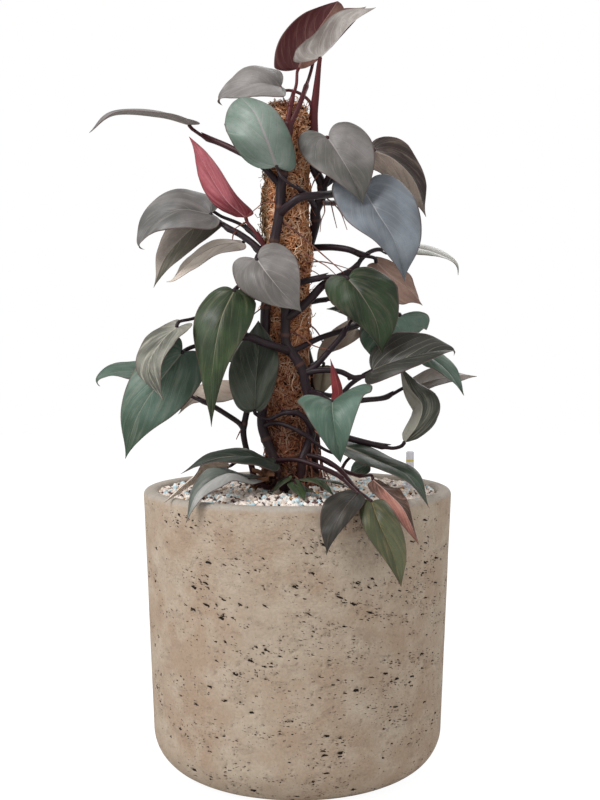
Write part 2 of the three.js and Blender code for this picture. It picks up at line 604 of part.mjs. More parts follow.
function planterGeometry() {
  const { rimRadius, height, wall, floor, footRadius, footRound, lipRound, facets } = planter;
  const innerFoot = footRadius - wall;
  const innerRim = rimRadius - wall;
  return turned([
    [0, 0],
    ...roundPoints(footRadius - footRound, footRound, footRound, -90, 0, 5),
    ...roundPoints(rimRadius - lipRound, height - lipRound, lipRound, 0, 90, 2),
    ...roundPoints(innerRim + lipRound, height - lipRound, lipRound, 90, 180, 2),
    ...roundPoints(innerFoot - footRound + wall, floor + footRound - wall, footRound - wall, 0, -90, 3),
    [0, floor],
  ], facets);
}

function rootBallProfile(extra = 0) {
  const { bottom, top, level, radius } = rootBall;
  return [
    [0, bottom - extra], [radius - 6 + extra, bottom - extra], [radius + extra, bottom + 50],
    [radius - 3 + extra, level - 18], [radius - 9 + extra, level], [radius - 17 + extra, level + 10],
    [radius - 28 + extra, level + 18], [0, top + extra],
  ];
}

function substrateSolid() {
  const { rimRadius, wall, floor, footRadius, footRound, facets } = planter;
  const innerFoot = footRadius - wall - pieceGap;
  const round = footRound - wall;
  const topAtWall = rimRadius - wall - pieceGap - (planter.height - substrate.levelAtWall) * 0.04;
  const fill = toSolid(turned([
    [0, floor + pieceGap],
    ...roundPoints(innerFoot - round, floor + pieceGap + round, round, -90, 0, 3),
    [topAtWall, substrate.levelAtWall],
    [rootBall.radius + 12, (substrate.levelAtWall + substrate.levelAtPlant) / 2],
    [0, substrate.levelAtPlant],
  ], facets));
  const pocket = toSolid(turned(rootBallProfile(pieceGap), rootBall.facets, rootBall.centre));
  const well = toSolid(turned([
    [0, gauge.foot - 1], [gauge.radius + pieceGap, gauge.foot - 1],
    [gauge.radius + pieceGap, gauge.collarLevel + 9],
    [0, gauge.collarLevel + 9],
  ], gauge.facets, gauge.centre));
  const collarSeat = toSolid(turned([
    [0, gauge.collarLevel - pieceGap], [gauge.collarRadius + 2, gauge.collarLevel - pieceGap],
    [gauge.collarRadius + 2, gauge.collarLevel + 20], [0, gauge.collarLevel + 20],
  ], gauge.facets, gauge.centre));
  return fill.subtract(pocket).subtract(well).subtract(collarSeat);
}

function poleSleeve() {
  const { centre, radius, bore, top, bottom, facets } = pole;
  return turned([
    [bore, bottom], [radius, bottom], [radius, top - 3], [radius - 3, top], [bore, top], [bore, bottom],
  ], facets, centre);
}

function poleStake() {
  const { centre, bore, stakeTop, stakeBottom, facets } = pole;
  const radius = bore - pieceGap;
  return turned([[0, stakeBottom], [radius, stakeBottom], [radius, stakeTop], [0, stakeTop]], facets, centre);
}

function rootBallSolid() {
  let solid = toSolid(turned(rootBallProfile(), rootBall.facets, rootBall.centre));
  const shaft = (radius, bottom) => toSolid(turned([
    [0, bottom], [radius, bottom], [radius, rootBall.top + 40], [0, rootBall.top + 40],
  ], pole.facets, pole.centre));
  solid = solid.subtract(shaft(pole.radius + pieceGap, pole.bottom - pieceGap));
  solid = solid.subtract(shaft(pole.bore, pole.stakeBottom - pieceGap));
  for (const name of Object.keys(stems)) solid = solid.subtract(stemSolid(name, pieceGap));
  return solid.subtract(shootSolid(pieceGap));
}

function gaugeTube() {
  const { centre, radius, bore, top, collarRadius, collarLevel, collarHeight, facets } = gauge;
  const { foot } = gauge;
  return turned([
    [bore, foot], [radius, foot], [radius, collarLevel], [collarRadius, collarLevel],
    [collarRadius, collarLevel + collarHeight], [radius, collarLevel + collarHeight], [radius, top - 1],
    [radius - 1, top], [0, top], [0, top - 1.2], [bore, top - 1.2], [bore, foot],
  ], facets, centre);
}

function gaugeFloat() {
  const { centre, rodRadius, rodTop, floatRadius, floatLength, facets } = gauge;
  const { foot } = gauge;
  return turned([
    [0, foot], [floatRadius - 0.6, foot], [floatRadius, foot + 2], [floatRadius, foot + floatLength],
    [rodRadius, foot + floatLength + 2], [rodRadius, rodTop], [0, rodTop],
  ], facets, centre);
}

const finishes = {
  concrete: { color: 0xb5a38c, roughness: 0.85 },
  grains: { color: 0xcfc9bd, roughness: 0.9 },
  roots: { color: 0x3c2a22, roughness: 0.95 },
  coir: { color: 0x9a6a45, roughness: 1 },
  stake: { color: 0xb08c5c, roughness: 0.8 },
  clearTube: { color: 0xe4e8ea, roughness: 0.2, transparent: true, opacity: 0.4 },
  float: { color: 0xb3262a, roughness: 0.4 },
  stems: { color: 0x33292d, roughness: 0.45 },
  shoots: { color: 0x4f6b3c, roughness: 0.45 },
  leaves: { color: 0x5b6f5f, roughness: 0.35 },
};

const object = new THREE.Group();

function addPiece(name, geometry, finish) {
  const mesh = new THREE.Mesh(geometry, new THREE.MeshStandardMaterial(finishes[finish]));
  mesh.name = name;
  object.add(mesh);
}

addPiece('pot', planterGeometry(), 'concrete');
addPiece('substrate', toGeometry(substrateSolid()), 'grains');
addPiece('root_ball', toGeometry(rootBallSolid()), 'roots');
addPiece('pole_sleeve', poleSleeve(), 'coir');
addPiece('pole_stake', poleStake(), 'stake');
addPiece('gauge_tube', gaugeTube(), 'clearTube');
addPiece('gauge_float', gaugeFloat(), 'float');
for (const name of Object.keys(stems)) addPiece(name, toGeometry(stemSolid(name)), 'stems');
addPiece('base_shoots', toGeometry(shootSolid()), 'shoots');
for (const [name, leaf] of Object.entries(leaves)) addPiece(name, bladeGeometry(leaf), 'leaves');

export default object;
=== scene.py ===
# A red-leaved climbing philodendron on a coir pole, in a washed concrete planter with a water gauge.
# Metres, +Z up; the viewer looks along +Y. Tables and points are in millimetres until makeMesh scales them.

import math
import random

import bpy
import numpy as np
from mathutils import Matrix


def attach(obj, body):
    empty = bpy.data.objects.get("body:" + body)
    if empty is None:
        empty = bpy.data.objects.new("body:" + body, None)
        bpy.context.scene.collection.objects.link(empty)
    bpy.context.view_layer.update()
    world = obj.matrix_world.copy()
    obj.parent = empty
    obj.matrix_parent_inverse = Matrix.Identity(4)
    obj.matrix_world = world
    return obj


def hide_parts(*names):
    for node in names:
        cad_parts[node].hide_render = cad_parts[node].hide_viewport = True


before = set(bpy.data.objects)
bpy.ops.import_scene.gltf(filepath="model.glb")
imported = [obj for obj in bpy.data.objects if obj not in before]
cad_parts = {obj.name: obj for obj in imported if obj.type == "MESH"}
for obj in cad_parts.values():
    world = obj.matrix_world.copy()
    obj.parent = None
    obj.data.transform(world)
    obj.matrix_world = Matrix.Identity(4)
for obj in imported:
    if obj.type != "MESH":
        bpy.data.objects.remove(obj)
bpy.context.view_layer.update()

mm = 0.001
fullTurn = 2 * math.pi
body = "root"
scene = bpy.context.scene


# Camera and light; lamps and their aim are in metres

studio = {
    "cameraPlace": (2.4, -1090, 395), "cameraPitch": 2.66, "lens": 51.75, "sensor": 36,
    "skySeen": 1.0, "skyLight": 0.6, "keyWatts": 44, "keySize": 1.0, "keyPlace": (-1.45, -1.2, 1.95),
    "fillWatts": 4, "fillSize": 1.6, "fillPlace": (1.5, -1.2, 0.9),
    "rimWatts": 11, "rimSize": 1.2, "rimPlace": (0.6, 1.5, 1.5), "aim": (0, 0, 0.36),
    "floorWhite": 0.95, "floorShade": (0.16, 0.16, 0.16, 1), "floorBounce": (0.72, 0.72, 0.71, 1),
}


# sRGB values from 0 to 255 as a linear colour.
def paint(*levels):
    linear = [((c / 255 + 0.055) / 1.055) ** 2.4 if c > 10 else c / 3294.6 for c in levels]
    return (*linear, 1.0)


def aimAt(thing, target):
    way = [t - p for t, p in zip(target, thing.location)]
    flat = math.hypot(way[0], way[1])
    thing.rotation_euler = (math.atan2(flat, -way[2]), 0, math.atan2(-way[0], way[1]))


def addCamera():
    data = bpy.data.cameras.new("viewer")
    data.lens = studio["lens"]
    data.sensor_width = studio["sensor"]
    data.clip_start = 0.01
    camera = bpy.data.objects.new("viewer", data)
    camera.location = [v * mm for v in studio["cameraPlace"]]
    camera.rotation_euler = (math.radians(90 - studio["cameraPitch"]), 0, 0)
    scene.collection.objects.link(camera)
    bpy.context.scene.camera = camera


def addSoftLight(name):
    data = bpy.data.lights.new(name, "AREA")
    data.energy = studio[name + "Watts"]
    data.size = studio[name + "Size"]
    light = bpy.data.objects.new(name, data)
    light.location = studio[name + "Place"]
    aimAt(light, studio["aim"])
    scene.collection.objects.link(light)


def addSky():
    world = bpy.data.worlds.new("studio")
    world.use_nodes = True
    tree = world.node_tree
    tree.nodes.clear()
    white = paint(255, 255, 255)
    seen, light = [addNode(tree, "ShaderNodeBackground", {"Color": white, "Strength": studio[key]}).outputs[0]
                   for key in ("skySeen", "skyLight")]
    toCamera = addNode(tree, "ShaderNodeLightPath").outputs["Is Camera Ray"]
    both = addNode(tree, "ShaderNodeMixShader", {0: toCamera, 1: light, 2: seen}).outputs[0]
    addNode(tree, "ShaderNodeOutputWorld", {"Surface": both})
    scene.world = world


# Node helpers

def addNode(tree, kind, inputs=None, **settings):
    node = tree.nodes.new(kind)
    for key, value in settings.items():
        setattr(node, key, value)
    for key, value in (inputs or {}).items():
        if isinstance(value, bpy.types.NodeSocket):
            tree.links.new(value, node.inputs[key])
        else:
            node.inputs[key].default_value = value
    return node


def calc(tree, operation, *values, clamp=False):
    node = addNode(tree, "ShaderNodeMath", dict(enumerate(values)), operation=operation)
    node.use_clamp = clamp
    return node.outputs[0]


def times(tree, first, *others):
    for other in others:
        first = calc(tree, "MULTIPLY", first, other)
    return first


def plus(tree, first, second):
    return calc(tree, "ADD", first, second)


def minus(tree, first, second):
    return calc(tree, "SUBTRACT", first, second)


def vectorCalc(tree, operation, first, second=None):
    inputs = {0: first}
    if second is not None:
        inputs["Scale" if operation == "SCALE" else 1] = second
    output = "Value" if operation in ("DOT_PRODUCT", "LENGTH") else "Vector"
    return addNode(tree, "ShaderNodeVectorMath", inputs, operation=operation).outputs[output]


def joined(tree, x=0.0, y=0.0, z=0.0):
    return addNode(tree, "ShaderNodeCombineXYZ", {0: x, 1: y, 2: z}).outputs[0]


def axesOf(tree, place):
    return addNode(tree, "ShaderNodeSeparateXYZ", {0: place}).outputs


def stretched(tree, place, scale, degrees=0):
    inputs = {"Vector": place, "Scale": scale, "Rotation": (0, math.radians(degrees), 0)}
    return addNode(tree, "ShaderNodeMapping", inputs).outputs[0]


def ease(tree, value, low, high, outLow=0.0, outHigh=1.0):
    inputs = {"Value": value, "From Min": low, "From Max": high, "To Min": outLow, "To Max": outHigh}
    return addNode(tree, "ShaderNodeMapRange", inputs, interpolation_type="SMOOTHSTEP").outputs[0]


def blendColour(tree, share, first, second, mode="MIX"):
    inputs = {0: share, 6: first, 7: second}
    return addNode(tree, "ShaderNodeMix", inputs, data_type="RGBA", blend_type=mode).outputs[2]


# A colour with others laid over it in turn, each by its share.
def layered(tree, colour, *layers):
    for share, tone in layers:
        colour = blendColour(tree, share, colour, tone)
    return colour


def dimmed(tree, colour, red, green, blue):
    shade = addNode(tree, "ShaderNodeCombineColor", {0: red, 1: green, 2: blue}).outputs[0]
    return blendColour(tree, 1.0, colour, shade, "MULTIPLY")


def speckle(tree, place, scale, detail=3.0, rough=0.5, output=0):
    inputs = {"Vector": place, "Scale": scale, "Detail": detail, "Roughness": rough}
    return addNode(tree, "ShaderNodeTexNoise", inputs).outputs[output]


# A push of up to half a unit each way, which changes smoothly from place to place.
def drift(tree, place, scale, detail, rough):
    colour = speckle(tree, place, scale, detail, rough, 1)
    return vectorCalc(tree, "SUBTRACT", colour, (0.5, 0.5, 0.5))


def cells(tree, place, scale, output="Distance"):
    return addNode(tree, "ShaderNodeTexVoronoi", {"Vector": place, "Scale": scale}).outputs[output]


# A random number for each cell.
def cellDraw(tree, place, scale, channel=0):
    colour = cells(tree, place, scale, "Color")
    return addNode(tree, "ShaderNodeSeparateColor", {0: colour}).outputs[channel]


# A finish, its tree, and the place on the object that its patterns follow.
def newFinish(name, **values):
    finish = bpy.data.materials.new(name)
    finish.use_nodes = True
    tree = finish.node_tree
    tree.nodes.clear()
    inputs = {key.replace("_", " "): value for key, value in values.items()}
    skin = addNode(tree, "ShaderNodeBsdfPrincipled", inputs, name="skin")
    addNode(tree, "ShaderNodeOutputMaterial", {"Surface": skin.outputs[0]})
    return finish, tree, addNode(tree, "ShaderNodeTexCoord").outputs["Object"]


def connect(tree, colour, rough=None, height=None, bumpDepth=0.001, bumpStrength=0.6):
    skin = tree.nodes["skin"].inputs
    tree.links.new(colour, skin["Base Color"])
    if rough is not None:
        tree.links.new(rough, skin["Roughness"])
    if height is not None:
        inputs = {"Height": height, "Distance": bumpDepth, "Strength": bumpStrength}
        tree.links.new(addNode(tree, "ShaderNodeBump", inputs).outputs[0], skin["Normal"])


# A CAD node that shows as it is gets its finish.
def dress(node, finish):
    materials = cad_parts[node].data.materials
    materials.clear()
    materials.append(finish)


# Geometry trees


# A tree with named inputs; returns the tree, its inputs and its end.
def newGrowth(name, inputs):
    tree = bpy.data.node_groups.new(name, "GeometryNodeTree")
    tree.interface.new_socket("Geometry", in_out="INPUT", socket_type="NodeSocketGeometry")
    for label, value in inputs.items():
        kind = {int: "NodeSocketInt", float: "NodeSocketFloat"}.get(type(value), "NodeSocketMaterial")
        socket = tree.interface.new_socket(label, in_out="INPUT", socket_type=kind)
        if kind != "NodeSocketMaterial":
            socket.default_value = value
    tree.interface.new_socket("Geometry", in_out="OUTPUT", socket_type="NodeSocketGeometry")
    return tree, addNode(tree, "NodeGroupInput").outputs, addNode(tree, "NodeGroupOutput")


def here(tree):
    return addNode(tree, "GeometryNodeInputPosition").outputs[0]


def pushed(tree, shape, offset):
    return addNode(tree, "GeometryNodeSetPosition", {"Geometry": shape, "Offset": offset}).outputs[0]


def randomValue(tree, low, high, seed, given):
    inputs = {2: low, 3: high, "Seed": plus(tree, given["Seed"], float(seed))}
    return addNode(tree, "FunctionNodeRandomValue", inputs, data_type="FLOAT").outputs[1]


def endGrowth(tree, end, shape, finish):
    done = addNode(tree, "GeometryNodeSetMaterial", {"Geometry": shape, "Material": finish}).outputs[0]
    tree.links.new(done, end.inputs[0])
    return tree


# Runs the tree on an object and keeps the result as its plain mesh.
def grow(thing, tree, inputs):
    growth = thing.modifiers.new("growth", "NODES")
    growth.node_group = tree
    for item in tree.interface.items_tree:
        if item.item_type == "SOCKET" and item.in_out == "INPUT" and item.name in inputs:
            growth[item.identifier] = inputs[item.name]
    depsgraph = bpy.context.evaluated_depsgraph_get()
    mesh = bpy.data.meshes.new_from_object(thing.evaluated_get(depsgraph), depsgraph=depsgraph)
    thing.modifiers.remove(growth)
    old = thing.data
    thing.data = mesh
    bpy.data.meshes.remove(old)
    mesh.name = thing.name
    return thing


# Meshes


# An object from points in millimetres; uvs hold one pair for each corner of each face.
def makeMesh(name, points, faces, finishes, slots=None, uvs=None):
    mesh = bpy.data.meshes.new(name)
    mesh.from_pydata((np.asarray(points, float) * mm).tolist(), [], [list(map(int, f)) for f in faces])
    for finish in finishes:
        mesh.materials.append(finish)
    if slots is not None:
        mesh.polygons.foreach_set("material_index", np.asarray(slots, dtype=np.int32))
    if uvs is not None:
        layer = mesh.uv_layers.new(name="blade")
        layer.data.foreach_set("uv", np.asarray(uvs, dtype=np.float32).ravel())
    mesh.polygons.foreach_set("use_smooth", np.ones(len(mesh.polygons), dtype=bool))
    mesh.update()
    thing = bpy.data.objects.new(name, mesh)
    scene.collection.objects.link(thing)
    return thing


def flatten(thing):
    thing.data.polygons.foreach_set("use_smooth", np.zeros(len(thing.data.polygons), dtype=bool))


# Fixes a finished piece to the plant and hides the nodes it stands for; the finish name it is given is not
# used.
def mount(thing, slot, *nodes):
    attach(thing, body)
    if nodes:
        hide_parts(*nodes)
    print("made", thing.name, len(thing.data.polygons), "faces")


def around(centre, reach, angle):
    return centre[0] + reach * math.cos(angle), centre[1] + reach * math.sin(angle)


# Points on a smooth curve through the given ones; a station's whole part picks the stretch.
def spline(points, stations, centripetal=True):
    p = np.asarray(points, float)
    p = np.vstack([2 * p[0] - p[1], p, 2 * p[-1] - p[-2]])
    u = np.clip(np.asarray(stations, float), 0, len(p) - 3 - 1e-9)
    i = u.astype(int)
    f = (u - i)[:, None]
    a, b, c, d = p[i], p[i + 1], p[i + 2], p[i + 3]
    if centripetal:
        k0, k1, k2 = [np.sqrt(np.linalg.norm(y - x, axis=1))[:, None] for x, y in ((a, b), (b, c), (c, d))]
        m0 = ((b - a) / k0 - (c - a) / (k0 + k1) + (c - b) / k1) * k1
        m1 = ((c - b) / k1 - (d - b) / (k1 + k2) + (d - c) / k2) * k1
    else:
        m0, m1 = (c - a) / 2, (d - b) / 2
    at = b + m0 * f + (3 * (c - b) - 2 * m0 - m1) * f ** 2 + (2 * (b - c) + m0 + m1) * f ** 3
    along = m0 + 2 * (3 * (c - b) - 2 * m0 - m1) * f + 3 * (2 * (b - c) + m0 + m1) * f ** 2
    return at, along / np.linalg.norm(along, axis=1)[:, None]


def skewOf(axis):
    x, y, z = axis
    return np.array([[0, -z, y], [z, 0, -x], [-y, x, 0]])


# The smallest rotation that takes one direction to another, as a matrix.
def turnBetween(first, second):
    skew = skewOf(np.cross(first, second))
    return np.eye(3) + skew + skew @ skew / (1 + float(np.dot(first, second)))


def turnAbout(axis, angle):
    skew = skewOf(axis)
    return np.eye(3) + math.sin(angle) * skew + (1 - math.cos(angle)) * skew @ skew


def unit(v):
    return v / np.maximum(np.linalg.norm(v, axis=-1, keepdims=True), 1e-12)


# The length run so far, at each point of a line.
def runAlong(points):
    return np.concatenate([[0], np.cumsum(np.linalg.norm(np.diff(points, axis=0), axis=1))])


def smooth(f, low, high):
    t = np.clip((f - low) / (high - low), 0, 1)
    return t * t * (3 - 2 * t)


# A round tube through the given points, with UVs of length and way round; its ends are domed.
def tubeParts(path, radiusAt, sides=12, step=4.0):
    path = np.asarray(path, float)
    stations = [0.0]
    for i, length in enumerate(np.linalg.norm(np.diff(path, axis=0), axis=1)):
        steps = max(2, round(length / step))
        stations += [i + k / steps for k in range(1, steps + 1)]
    at, along = spline(path, stations)
    run = runAlong(at)
    normals = [unit(np.cross(np.array([0.3, 1, 0.2]), along[0]))]
    for before, after in zip(along, along[1:]):
        normals.append(turnBetween(before, after) @ normals[-1])
    radii = np.array([radiusAt(r / run[-1], r) for r in run])
    dome, domeHeight = [0.35, 0.75], 0.7
    pick = np.clip(np.arange(-len(dome), len(at) + len(dome)), 0, len(at) - 1)
    share = np.concatenate([dome, np.ones(len(at)), dome[::-1]])
    outwards = np.sign(np.arange(len(pick)) - len(dome) - pick)
    at, along, radii, run = at[pick], along[pick], radii[pick], run[pick]
    at = at + along * (outwards * radii * (1 - share) * domeHeight)[:, None]
    normals = np.array(normals)[pick]
    angle = fullTurn * np.arange(sides) / sides
    cosine, sine = np.cos(angle)[:, None], np.sin(angle)[:, None]
    ring = cosine * normals[:, None] + sine * np.cross(along, normals)[:, None]
    points = (at[:, None] + ring * (radii * share)[:, None, None]).reshape(-1, 3)
    faces, uvs = [], []
    for i in range(len(at) - 1):
        low, high = run[i] / 100, run[i + 1] / 100
        for k in range(sides):
            a, b = i * sides + k, i * sides + (k + 1) % sides
            faces.append((a, b, b + sides, a + sides))
            uvs += [(low, k / sides), (low, (k + 1) / sides), (high, (k + 1) / sides), (high, k / sides)]
    last = (len(at) - 1) * sides
    faces += [tuple(range(sides - 1, -1, -1)), tuple(range(last, last + sides))]
    uvs += [(0, 0)] * sides + [(run[-1] / 100, 0)] * sides
    return points, faces, uvs


# Several lots of points, faces and UVs as one, with the number of each face's lot.
def joinParts(parts):
    points, faces, uvs, lots = [], [], [], []
    count = 0
    for number, (p, f, u) in enumerate(parts):
        points.append(np.asarray(p))
        faces += [tuple(i + count for i in face) for face in f]
        uvs += u
        lots += [number] * len(f)
        count += len(p)
    return np.vstack(points), faces, uvs, lots


# Planter of washed concrete: a turned shell, with pits sunk into its outside

planter = {
    "rimRadius": 145, "height": 262, "wall": 14, "floor": 16, "footRadius": 136.5, "footRound": 38,
    "lipRound": 5, "lipStain": 6, "columns": 560, "wallRows": 114, "footRows": 30, "wobble": 0.35,
    "clay": paint(173, 156, 138), "warm": paint(165, 143, 123), "pale": paint(190, 176, 159),
    # pit and pitEdge are painted shade for the pits and the ring round each pit
    "dusk": paint(142, 124, 108), "pit": paint(38, 29, 23), "pitEdge": paint(118, 99, 83),
    "lip": paint(166, 160, 152), "pitDepth": 1.5, "pitStretch": 2.7, "pitWarp": 7.0, "pitEdgeWidth": 0.03,
    "pitLayers": ((12.5, 0.52, 0.27), (6.8, 0.55, 0.28), (3.4, 0.62, 0.33)),    # spacing, scarcity, widest
}


# 1 in the middle of a pit and 0 on the plain face, from a place in metres.
def pitMask(tree, place):
    x, y, z = axesOf(tree, vectorCalc(tree, "SCALE", place, 1 / mm))
    tilted = plus(tree, z, times(tree, x, ease(tree, z, 40.0, 210.0, 0.0, 0.36)))
    flat = joined(tree, x, y, times(tree, tilted, planter["pitStretch"]))
    warp = vectorCalc(tree, "SCALE", drift(tree, flat, 0.22, 2.0, 0.6), planter["pitWarp"])
    bent = vectorCalc(tree, "ADD", flat, warp)
    crowd = times(tree, minus(tree, speckle(tree, flat, 0.022, 2.0), 0.5), 1.5)
    found = 0.0
    for spacing, scarcity, widest in planter["pitLayers"]:
        cell = addNode(tree, "ShaderNodeTexVoronoi", {"Vector": bent, "Scale": 1 / spacing}).outputs
        chance = plus(tree, axesOf(tree, cell["Color"])[0], crowd)
        size = ease(tree, chance, scarcity, 1.05, 0.0, widest)
        depth = minus(tree, size, cell["Distance"])
        pit = calc(tree, "DIVIDE", depth, planter["pitEdgeWidth"], clamp=True)
        found = calc(tree, "MAXIMUM", found, pit)
    rim = planter["height"]
    return times(tree, found, ease(tree, z, rim - 10.0, rim - 5.0, 1.0, 0.0))


def planterFinish():
    finish, tree, place = newFinish("washedConcrete", Specular_IOR_Level=0.25)
    pits = pitMask(tree, place)
    blotch = ease(tree, speckle(tree, place, 16.0, 4.0, 0.55), 0.35, 0.65)
    cloud = ease(tree, speckle(tree, place, 38.0, 5.0, 0.6), 0.4, 0.7, 0.0, 0.55)
    fine = speckle(tree, place, 420.0, 4.0, 0.7)
    slanting = stretched(tree, place, (1, 1, 1.7), 20)
    scuff = ease(tree, speckle(tree, slanting, 60.0, 6.0, 0.7), 0.54, 0.66)
    rim = planter["height"]
    stained = ease(tree, axesOf(tree, place)[2], (rim - planter["lipStain"]) * mm, (rim - 2) * mm, 0.0, 0.7)
    colour = layered(tree, planter["clay"], (blotch, planter["warm"]), (cloud, planter["pale"]),
                     (times(tree, scuff, 0.3), planter["dusk"]), (stained, planter["lip"]))
    grain = ease(tree, fine, 0.3, 0.7, 0.9, 1.07)
    # The pits, their edges and the pinholes are coloured darker: painted shade in the hollows.
    pins = times(tree, ease(tree, cells(tree, place, 330.0), 0.16, 0.05),
                 ease(tree, speckle(tree, place, 45.0, 2.0), 0.43, 0.56))
    colour = layered(tree, dimmed(tree, colour, grain, grain, grain),
                     (ease(tree, pits, 0.0, 0.45), planter["pitEdge"]),
                     (ease(tree, pits, 0.25, 0.8), planter["pit"]), (times(tree, pins, 0.8), planter["pit"]))
    height = minus(tree, times(tree, fine, 0.5), plus(tree, pits, pins))
    height = minus(tree, height, times(tree, scuff, 0.4))
    worn = ease(tree, speckle(tree, slanting, 190.0, 5.0, 0.6), 0.44, 0.6)
    wornHere = ease(tree, speckle(tree, place, 9.0, 2.0), 0.46, 0.62)
    height = plus(tree, height, times(tree, worn, wornHere, 0.35))
    connect(tree, colour, ease(tree, fine, 0.2, 0.8, 0.72, 0.95), height, 0.0007, 0.9)
    return finish


def arc(r, z, radius, start, end, steps):
    return [around((r, z), radius, a) for a in np.radians(np.linspace(start, end, steps + 1))]


def between(first, second, steps):
    return [tuple(np.array(first) + (np.array(second) - first) * k / steps) for k in range(1, steps)]


# A turned skin from (radius, height) points that run up the outside; ends may lie on the axis.
def lathe(profile, columns, centre=(0, 0)):
    points, faces, rings = [], [], []
    for r, z in profile:
        if r < 1e-6:
            rings.append([len(points)] * columns)
            points.append((*centre, z))
        else:
            rings.append(list(range(len(points), len(points) + columns)))
            points += [(*around(centre, r, a), z) for a in fullTurn * np.arange(columns) / columns]
    for low, high in zip(rings, rings[1:]):
        for k in range(columns):
            n = (k + 1) % columns
            face = list(dict.fromkeys([low[k], low[n], high[n], high[k]]))
            if len(face) > 2:
                faces.append(face)
    return points, faces


def pitGrowth():
    tree, given, end = newGrowth("pits", {"Depth": 0.0015, "Wobble": 0.0003, "Concrete": None})
    place = here(tree)
    normal = addNode(tree, "GeometryNodeInputNormal").outputs[0]
    outwards = vectorCalc(tree, "DOT_PRODUCT", vectorCalc(tree, "MULTIPLY", place, (1, 1, 0)), normal)
    sink = times(tree, pitMask(tree, place), given["Depth"])
    wave = times(tree, minus(tree, speckle(tree, place, 22.0), 0.5), given["Wobble"], 2.0)
    shift = times(tree, minus(tree, wave, sink), ease(tree, outwards, 0.02, 0.06))
    return endGrowth(tree, end, pushed(tree, given["Geometry"], vectorCalc(tree, "SCALE", normal, shift)),
                     given["Concrete"])


def makePlanter():
    p = planter
    innerFoot, innerRim = p["footRadius"] - p["wall"], p["rimRadius"] - p["wall"]
    innerRound, lipLevel = p["footRound"] - p["wall"], p["height"] - p["lipRound"]
    foot = arc(p["footRadius"] - p["footRound"], p["footRound"], p["footRound"], -90, 0, p["footRows"])
    rim = arc(p["rimRadius"] - p["lipRound"], lipLevel, p["lipRound"], 0, 90, 5)
    lip = arc(innerRim + p["lipRound"], lipLevel, p["lipRound"], 90, 180, 5)
    bowl = arc(innerFoot - innerRound, p["floor"] + innerRound, innerRound, 0, -90, 4)
    profile = [(0, 0), (40, 0), (80, 0), *foot, *between(foot[-1], rim[0], p["wallRows"]), *rim, *lip, *bowl,
               (0, p["floor"])]
    finish = planterFinish()
    pot = makeMesh("planter", *lathe(profile, p["columns"]), [finish])
    grow(pot, pitGrowth(), {"Depth": p["pitDepth"] * mm, "Wobble": p["wobble"] * mm, "Concrete": finish})
    mount(pot, "concrete", "pot")


# Mineral substrate: single grains strewn over the bed

bed = {
    "inner": 34, "outer": 129.5, "wallLevel": 256.4, "plantLevel": 260.4, "layerDepth": 1.6,
    "grainSize": 2.7, "seed": 11,
    "kinds": {    # how many, their smallest and largest size, tone and deep tone
        "cream": (2500, (0.7, 1.35), paint(252, 244, 236), paint(224, 206, 190)),
        "aqua": (700, (0.7, 1.35), paint(220, 240, 246), paint(176, 206, 216)),
        "umber": (1250, (0.5, 1.0), paint(124, 94, 90), paint(58, 40, 44)),
        "ochre": (170, (0.6, 1.1), paint(206, 164, 112), paint(150, 104, 66)),
    },
}


def grainFinish(name, tone, deep):
    finish, tree, place = newFinish(name, Specular_IOR_Level=0.3)
    fine = speckle(tree, place, 1400.0, 3.0, 0.6)
    light = ease(tree, cellDraw(tree, place, 260.0), 0.0, 1.0)
    colour = layered(tree, deep, (light, tone), (ease(tree, fine, 0.45, 0.75, 0.0, 0.4), deep))
    connect(tree, colour, ease(tree, fine, 0.2, 0.8, 0.6, 0.95), fine, 0.0003, 0.6)
    return finish


def bedFinish():
    finish, tree, place = newFinish("grainBed", Roughness=0.95, Specular_IOR_Level=0.2)
    light = ease(tree, cellDraw(tree, place, 300.0), 0.3, 0.75)
    colour = blendColour(tree, light, paint(120, 104, 96), paint(214, 206, 196))
    connect(tree, colour, None, cells(tree, place, 300.0), 0.001, 1.0)
    return finish


# Broken grains of four or five faces each way, thrown on a surface.
def strewGrowth():
    tree, given, end = newGrowth("strewnGrains", {
        "Count per square metre": 50000.0, "Smallest": 0.7, "Largest": 1.3, "Radius": 0.0017, "Seed": 1,
        "Lift": 0.0015, "Grain": None,
    })
    thrown = addNode(tree, "GeometryNodeDistributePointsOnFaces", {
        "Mesh": given["Geometry"], "Density": given["Count per square metre"], "Seed": given["Seed"],
    }, distribute_method="RANDOM")
    rise = times(tree, randomValue(tree, -1.0, 1.0, 0, given), given["Lift"])
    lifted = pushed(tree, thrown.outputs["Points"], joined(tree, z=rise))
    form = {"Radius": given["Radius"], "Subdivisions": 1}
    stone = addNode(tree, "GeometryNodeMeshIcoSphere", form).outputs[0]
    low, high = [joined(tree, given[name], given[name], given[name]) for name in ("Smallest", "Largest")]
    turn, size = [
        addNode(tree, "FunctionNodeRandomValue", {0: least, 1: most}, data_type="FLOAT_VECTOR").outputs[0]
        for least, most in (((0, 0, 0), (6.28, 6.28, 6.28)), (low, high))
    ]
    grains = addNode(tree, "GeometryNodeInstanceOnPoints", {
        "Points": lifted, "Instance": stone, "Rotation": turn, "Scale": size,
    }).outputs[0]
    solid = addNode(tree, "GeometryNodeRealizeInstances", {"Geometry": grains}).outputs[0]
    rub = vectorCalc(tree, "SCALE", drift(tree, here(tree), 620.0, 1.0, 0.5), 0.0022)
    return endGrowth(tree, end, pushed(tree, solid, rub), given["Grain"])


